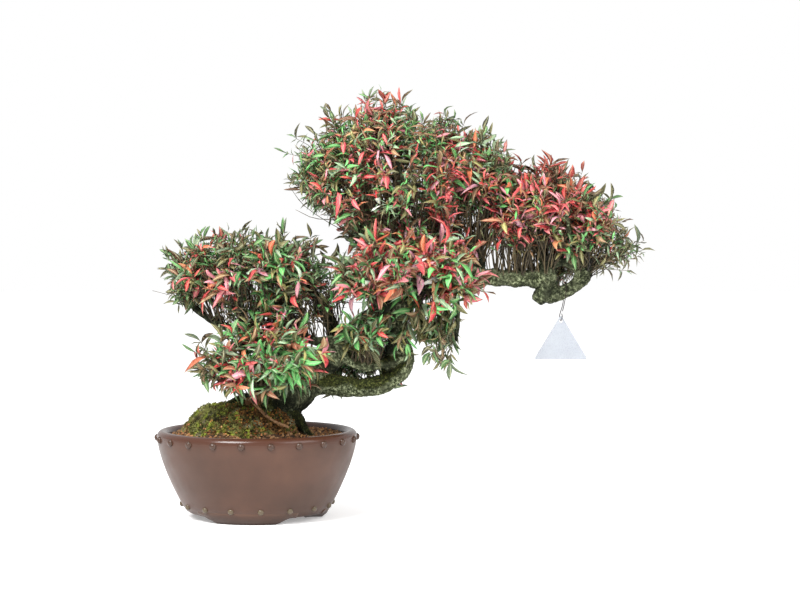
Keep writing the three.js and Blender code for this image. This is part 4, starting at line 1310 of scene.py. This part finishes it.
def twigTubes():
    tubes = {kind: tubeForm(foliage[kind]["sides"], foliage[kind]["steps"]) for kind in ("twig", "side")}
    for form in tubes.values():
        form.uv_layers.new(name="UVMap")
        for polygon in form.polygons:
            polygon.material_index = 1
    return tubes


def makeFoliage(trunk):
    bark, forms, tubes = treeOf(trunk.data), leafForms(), twigTubes()
    blades = {slot: leafMaterial(slot + "_blade") for slot in leafMixes}
    twigBark = twigMaterial()
    hearts = {}
    for node in sorted(n for n in nodes if n.startswith("spray_")):
        points = [v.co for v in nodes[node].data.vertices]
        hearts[node] = sum(points, Vector()) / len(points)
    for node, ends in spreadTips(hearts).items():
        rand = random.Random(node)
        bm = bmesh.new()
        for tip, name, leafy in ends:
            mix = hangingMix if name in hangingClumps else leafMixes[slots[node]]
            growTwig(bm, forms, tubes, rand, bark, tip, name, leafy, mix)
        spray = newPiece("fine_" + node, meshOf(bm, "fine_" + node), blades[slots[node]], twigBark)
        finish(spray, slots[node], node)
        print(node, len(ends), "twigs")


makeFoliage(trunk)
print("foliage grown")


# Floor and light
stage = {
    "floor": 6, "floorGlow": 0.3, "pale": (0.93, 0.93, 0.93, 1), "white": (1, 1, 1, 1),
    "world": 0.82, "aim": (100, 0, 200),
    "lights": {"key": [(-700, -1100, 1500), 0.9, 62], "fill": [(1300, -900, 900), 1.2, 18]},
}


def makeFloor():
    bm = bmesh.new()
    bmesh.ops.create_grid(bm, x_segments=1, y_segments=1, size=stage["floor"])
    material, tree, shader = newMaterial("pale_floor", 0.9)
    fill(tree, shader, {
        "Base Color": stage["pale"],
        "Emission Color": stage["white"],
        "Emission Strength": stage["floorGlow"],
    })
    newPiece("floor", meshOf(bm, "floor", smooth=False), material)


def makeWorld():
    world = bpy.data.worlds.new("studio")
    world.use_nodes = True
    tree = world.node_tree
    # The backdrop stays white while its light is dimmer
    glow = tree.nodes["Background"]
    fill(tree, glow, {"Color": stage["white"], "Strength": stage["world"]})
    backdrop = addNode(tree, "Background", {"Color": stage["white"], "Strength": 1.0})
    seen = addNode(tree, "LightPath").outputs["Is Camera Ray"]
    blend = addNode(tree, "MixShader", {0: seen, 1: glow.outputs[0], 2: backdrop.outputs[0]})
    fill(tree, tree.nodes["World Output"], {"Surface": blend.outputs[0]})
    scene.world = world


def makeLights():
    for name, (place, width, power) in stage["lights"].items():
        light = bpy.data.lights.new(name, "AREA")
        light.size = width
        light.energy = power
        lamp = bpy.data.objects.new(name, light)
        lamp.location = spot(*place)
        lamp.rotation_euler = (spot(*stage["aim"]) - lamp.location).to_track_quat("-Z", "Y").to_euler()
        scene.collection.objects.link(lamp)
    scene.view_settings.view_transform = "Standard"


makeFloor()
makeWorld()
makeLights()
print("stage lit")

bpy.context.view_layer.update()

added = [piece for piece in scene.objects if piece.type == "MESH" and piece.name not in nodes]
print("triangles added", sum(len(face.vertices) - 2 for piece in added for face in piece.data.polygons))
